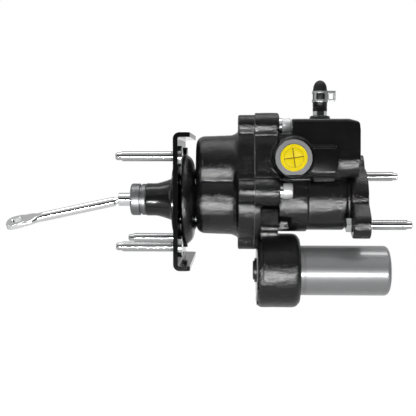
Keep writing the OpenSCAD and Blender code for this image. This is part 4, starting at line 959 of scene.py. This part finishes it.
# %% [markdown]
# ### Port faces and plugs
# Round each pressure port the casting is machined flat, which leaves a bright ring with a flat
# lower edge. The ring is a thin turned washer let into the casting, cut along its flat. The plug
# is moulded: a rim, a dished face and four raised sectors, with a cross of grooves between them.
# One quarter of the face is cut from a disc, extruded, and mirrored twice.

# %% Port faces
RING = [(-1.5, 11.0), (0.12, 11.0), (0.12, 17.9), (-0.15, 18.2), (-1.5, 18.2)]
RING_FLAT = 16.3  # from the port's axis down to the flat edge


def port_face(side):
    """The machined ring of one port."""
    bm = turned([(side * (PORT_Y + along), radius) for along, radius in RING], axis="Y",
                centre=(PORT_X, 0, PORT_Z), tube=True)
    cut = slice_off(bm, everything(bm), (0, 0, (PORT_Z - RING_FLAT) * MM), (0, 0, -1))
    bmesh.ops.holes_fill(bm, edges=cut, sides=0)
    return outward(bm)


piece("port_rings", join(port_face(-1), port_face(1)), "black_casting", ["valve_body"],
      finish="port_iron", sharp=30.0)

# %% Yellow plugs
HALF_GROOVE, CROSS_TURN = 0.45, -8


def sectors(radius, start, height, bevel):
    """Four raised quarters of a disc, with a groove between them, lying on the XY plane."""
    bm = bmesh.new()
    bmesh.ops.create_circle(bm, cap_ends=True, segments=96, radius=radius * MM)
    for axis in ("X", "Y"):
        slice_off(bm, everything(bm), AXES[axis] * HALF_GROOVE * MM, -AXES[axis])
    raised = bmesh.ops.extrude_face_region(bm, geom=list(bm.faces))
    top = only(VERT, raised["geom"])
    shift(bm, (0, 0, height), top)
    shift(bm, (0, 0, start))
    ease(bm, [e for e in bm.edges if all(v in top for v in e.verts)], bevel)
    for axis in ("X", "Y"):
        bmesh.ops.mirror(bm, geom=everything(bm), axis=axis, merge_dist=0)
    return outward(bm)


def plug(side):
    """A plug in its port, with its cross a little turned."""
    head = ([(-12.0, 0.0), (-12.0, 10.9), (0.12, 10.9), (0.12, 12.9)]
            + rounded(1.55, 12.85, 0.45, 90, 0, 4)
            + [(2.0, 12.2), (1.5, 11.7), (1.5, 11.0), (1.9, 10.6), (1.9, 9.9), (1.35, 9.6),
               (1.35, 0.0)])
    face = sectors(9.5, 1.0, 0.85, 0.2)
    turn(face, -90, "X")
    turn(face, CROSS_TURN, "Y")
    bm = join(turned(head, axis="Y"), face)
    if side < 0:
        bmesh.ops.scale(bm, verts=bm.verts, vec=(1, -1, 1))
    shift(bm, (PORT_X, side * PORT_Y, PORT_Z))
    return outward(bm)


piece("moulded_plugs", join(plug(-1), plug(1)), "yellow_plug", "port_plugs", sharp=35.0)

# %% [markdown]
# ### Cheek pad
# Beside the port the casting carries a raised pad with a milled face and a slot above it. Its edges
# are crisper than a sand casting's, so it is a separate plate: a cube scaled to size whose corner
# edges get a large bevel and whose front rim a small one.

# %% Milled pad
def plate(low, high, corner, rim):
    """A plate between two corners in millimetres, with round corners and an eased near rim."""
    bm = bmesh.new()
    bmesh.ops.create_cube(bm, size=1.0)
    for v in bm.verts:
        v.co = Vector([(a + b) / 2 + c * (b - a) for a, b, c in zip(low, high, v.co)]) * MM
    posts = [e for e in bm.edges if abs(e.verts[0].co.y - e.verts[1].co.y) > 1e-6]
    ease(bm, posts, corner, 5)
    front = min(v.co.y for v in bm.verts)
    ease(bm, [e for e in bm.edges if all(abs(v.co.y - front) < 1e-6 for v in e.verts)], rim, 3)
    return bm


pad = plate((131.0, -54.4, 29.8), (161.6, -49.0, 53.2), 2.5, 0.5)
lip = plate((131.0, -53.4, 54.6), (161.6, -49.0, 56.4), 0.6, 0.4)
piece("cheek_pad", join(pad, lip), "black_casting", ["valve_body"], finish="milled_black", sharp=30.0)

# %% [markdown]
# ### Pedal rod
# The rod is forged: a round shank that is squeezed flat into a paddle with a round eye. The shank
# and its ball end are turned. The flattening is a row of closed loops, each a squashed circle a
# little wider and thinner than the one before, bridged into a skin. The eye is a thick ring spun
# about the pin's axis. The real rod hangs at about 12 degrees below the pedal axis.

# %% Pedal rod
DROOP, ROLL, PIVOT_X = 12.1, 22.0, -57.0
ROD_LEN, EYE_R, EYE_FROM = 130.0, 11.5, 8.0
EYE_S = ROD_LEN - EYE_R


def squashed_loop(bm, along, half_width, half_height, power=2.0, count=48):
    """A closed loop of vertices round the rod, from a circle to a rounded box."""
    loop = bmesh.ops.create_circle(bm, segments=count, radius=1.0)["verts"]
    for v in loop:
        y = math.copysign(abs(v.co.x) ** (2 / power), v.co.x) * half_width
        z = math.copysign(abs(v.co.y) ** (2 / power), v.co.y) * half_height
        v.co = Vector((-along, y, z)) * MM
    return loop


forged = bmesh.new()
squeeze = [(86.0, 5.0, 5.0, 2.0), (89.0, 5.0, 5.0, 2.0), (91.5, 5.1, 4.9, 2.1), (94.0, 5.6, 4.5, 2.3),
           (96.0, 6.6, 4.0, 2.6), (98.0, 8.2, 3.5, 3.0), (100.0, 9.8, 3.1, 3.6),
           (102.0, 10.8, 2.88, 4.2), (105.0, 11.2, 2.76, 4.8), (109.0, 11.25, 2.74, 5.0),
           (111.8, 11.1, 2.72, 5.0)]
loops = [squashed_loop(forged, *values) for values in squeeze]
bridge(forged, loops)
for end in (loops[0], loops[-1]):
    bmesh.ops.contextual_create(forged, geom=end)
outward(forged)
eye = turned([(-2.8, 6.7), (-2.2, 6.1), (2.2, 6.1), (2.8, 6.7)]
             + rounded(1.9, EYE_R - 0.9, 0.9, 0, 90, 4) + rounded(-1.9, EYE_R - 0.9, 0.9, 90, 180, 4),
             axis="Z", centre=(-EYE_S, 0, 0), steps=72, tube=True)
for v in eye.verts:
    # The eye is a little square, as the forging die left it
    out = Vector((-EYE_S - v.co.x / MM, v.co.y / MM))
    if out.length > EYE_FROM:
        unit = out.normalized()
        square = (abs(unit.x) ** 3 + abs(unit.y) ** 3) ** (-1 / 3)
        v.co.x, v.co.y = -(EYE_S + out.x * square) * MM, out.y * square * MM
flat_end = join(forged, eye)
turn(flat_end, ROLL, "X")
angles = [math.radians(a) for a in range(12, 140, 8)]
ball_and_shank = ([(5.0, 0.0), (5.0, 0.9)] + [(5 * math.cos(a), 5 * math.sin(a)) for a in angles]
                  + [(-4.6, 3.25), (-8.5, 3.25), (-9.6, 3.6), (-10.9, 4.7), (-11.4, 5.0), (-89.0, 5.0),
                     (-89.0, 0.0)])
rod_bm = join(turned(ball_and_shank, steps=64), flat_end)
turn(rod_bm, -DROOP, "Y")
shift(rod_bm, (PIVOT_X, 0, 0))
piece("forged_rod", rod_bm, "bright_steel", "push_rod", finish="polished_rod", sharp=35.0)

# %% [markdown]
# ### Motor can and pump plug
# The can is drawn from sheet steel: a rolled seam where it meets the pump, a straight barrel and a
# round corner at its end, with a low dome that holds the rear bush.

# %% Motor can
MOTOR = (0, 0, -75.4)
can = ([(221.3, 0.0), (221.3, 7.05), (214.5, 7.05), (214.5, 9.5), (221.3, 9.5), (221.3, 21.4),
        (217.8, 24.4), (129.0, 24.4), (129.0, 26.0), (129.4, 26.4), (133.6, 26.4), (133.9, 26.15),
        (134.3, 26.15), (134.6, 26.4)]
       + rounded(218.3, 21.4, 5.0, 90, 8, 8)
       + [(223.6, 18.0), (223.9, 12.0), (224.4, 11.0), (224.5, 9.0), (224.5, 0.0)])
piece("drawn_can", turned(can, centre=MOTOR, steps=144), "can_steel", "motor_can", sharp=32.0)

# %% [markdown]
# ### Return cap and its clamp
# The return port is closed by a rubber cap with a domed end, held by a spring clamp: a band of
# spring steel with large windows, whose ends stand out as two square loops. The band is a short
# cylinder of which the windows' faces are deleted, and each loop is a rectangle round another.
# Solidify gives the sheet its thickness.

# %% Rubber cap
RETURN_X, CAP_TOP, DOME_HEIGHT, DOME_R = 150.0, 125.2, 8.9, 7.1
angles = [math.radians(a) for a in range(8, 91, 8)]
dome = [(CAP_TOP - DOME_HEIGHT * (1 - math.sin(a)), DOME_R * math.cos(a)) for a in angles]
cap = ([(117.2, 0.0), (117.2, 5.05), (92.8, 5.05), (92.8, 7.0), (93.2, 7.5), (96.6, 7.55), (96.9, 7.3),
        (97.5, 7.3), (97.8, 7.55), (114.2, 7.55), (115.6, 7.25)] + dome + [(CAP_TOP, 0.0)])
piece("domed_cap", turned(cap, axis="Z", centre=(RETURN_X, 0, 0), steps=72), "cap_rubber",
      "return_cap", sharp=40.0)

# %% Spring clamp
BAND_R, BAND_Z = 7.75, (102.2, 104.9, 108.2, 111.4, 113.6)
WINDOWS, HALF_WINDOW, HALF_GAP = (-90, 90, 180), 33, 14  # degrees round the band
LOOPS_Y = 1.9
clamp = bmesh.new()
loops = []
for z in BAND_Z:
    loop = bmesh.ops.create_circle(clamp, segments=96, radius=BAND_R * MM)["verts"]
    shift(clamp, (RETURN_X, 0, z), loop)
    loops.append(loop)
bridge(clamp, loops)
windows = []
for face in clamp.faces:
    spot = face.calc_center_median() / MM
    angle = math.degrees(math.atan2(spot.y, spot.x - RETURN_X))
    aside = min(abs((angle - middle + 180) % 360 - 180) for middle in WINDOWS)
    if abs(angle) < HALF_GAP or (BAND_Z[1] < spot.z < BAND_Z[3] and aside < HALF_WINDOW):
        windows.append(face)
bmesh.ops.delete(clamp, geom=windows, context="FACES")
for side in (-1, 1):
    outer, inner = [[clamp.verts.new(Vector((x, side * LOOPS_Y, z)) * MM)
                     for x, z in ((x0, z0), (x1, z0), (x1, z1), (x0, z1))]
                    for x0, z0, x1, z1 in ((157.2, 103.2, 166.0, 114.2), (159.0, 105.4, 164.1, 111.3))]
    for i in range(4):
        clamp.faces.new((outer[i - 1], outer[i], inner[i], inner[i - 1]))
outward(clamp)
clamp_piece = piece("window_clamp", clamp, "bright_steel", "hose_clamp", finish="clamp_steel")
sheet_metal = clamp_piece.modifiers.new("thickness", "SOLIDIFY")
sheet_metal.thickness, sheet_metal.offset = 0.6 * MM, 1.0
softened = clamp_piece.modifiers.new("edges", "BEVEL")
softened.width, softened.segments, softened.limit_method = 0.15 * MM, 2, "ANGLE"

# %% [markdown]
# ### Springs
# A spring is a small circle spun round the axis while dvec carries it along.

# %% Spring helper
def spring(node, axis, start, end, centre, mean_r, wire_r, turns, steps=24):
    """A coil between two places on an axis."""
    bm = bmesh.new()
    wire = bmesh.ops.create_circle(bm, segments=10, radius=wire_r * MM)["verts"]
    out, middle = ACROSS[axis], Vector(centre) * MM
    for v in wire:
        v.co = middle + AXES[axis] * ((start + wire_r) * MM + v.co.y) + out * (mean_r * MM + v.co.x)
    count = round(turns * steps)
    pitch = (end - start - 2 * wire_r) / count * MM
    bmesh.ops.spin(bm, geom=wire + loop_edges(bm, wire), cent=middle, axis=AXES[axis],
                   angle=math.tau * turns, steps=count, dvec=AXES[axis] * pitch)
    outward(bm, close=True)
    obj = piece(node + "_coil", bm, "spring_steel", node, sharp=50.0)
    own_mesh(obj)


spring("return_spring", "X", 53.2, 119.8, (0, 0, 0), 13.0, 1.6, 8)
spring("flow_spring", "X", 132.2, 172.3, (0, 0, 52), 4.6, 0.7, 8)
spring("check_valve_spring", "Z", -40.2, -24.6, (97, 9, 0), 4.75, 0.5, 5)
spring("throttle_spring", "X", 26.2, 33.8, (0, 0, 0), 5.8, 0.55, 3)

# %% [markdown]
# ## Nodes that keep their engineering mesh
# The rest keep the mesh of the model. Each gets the finish that its slot names.

# %% Dress the remaining nodes
SLOT_OF = {part["node"]: part["material_slot"] for part in frame["record"]["subparts"]}
for name, obj in nodes.items():
    obj.data.materials.clear()
    obj.data.materials.append(FINISH[SLOT_OF[name]])
print("dressed", len(nodes), "nodes")
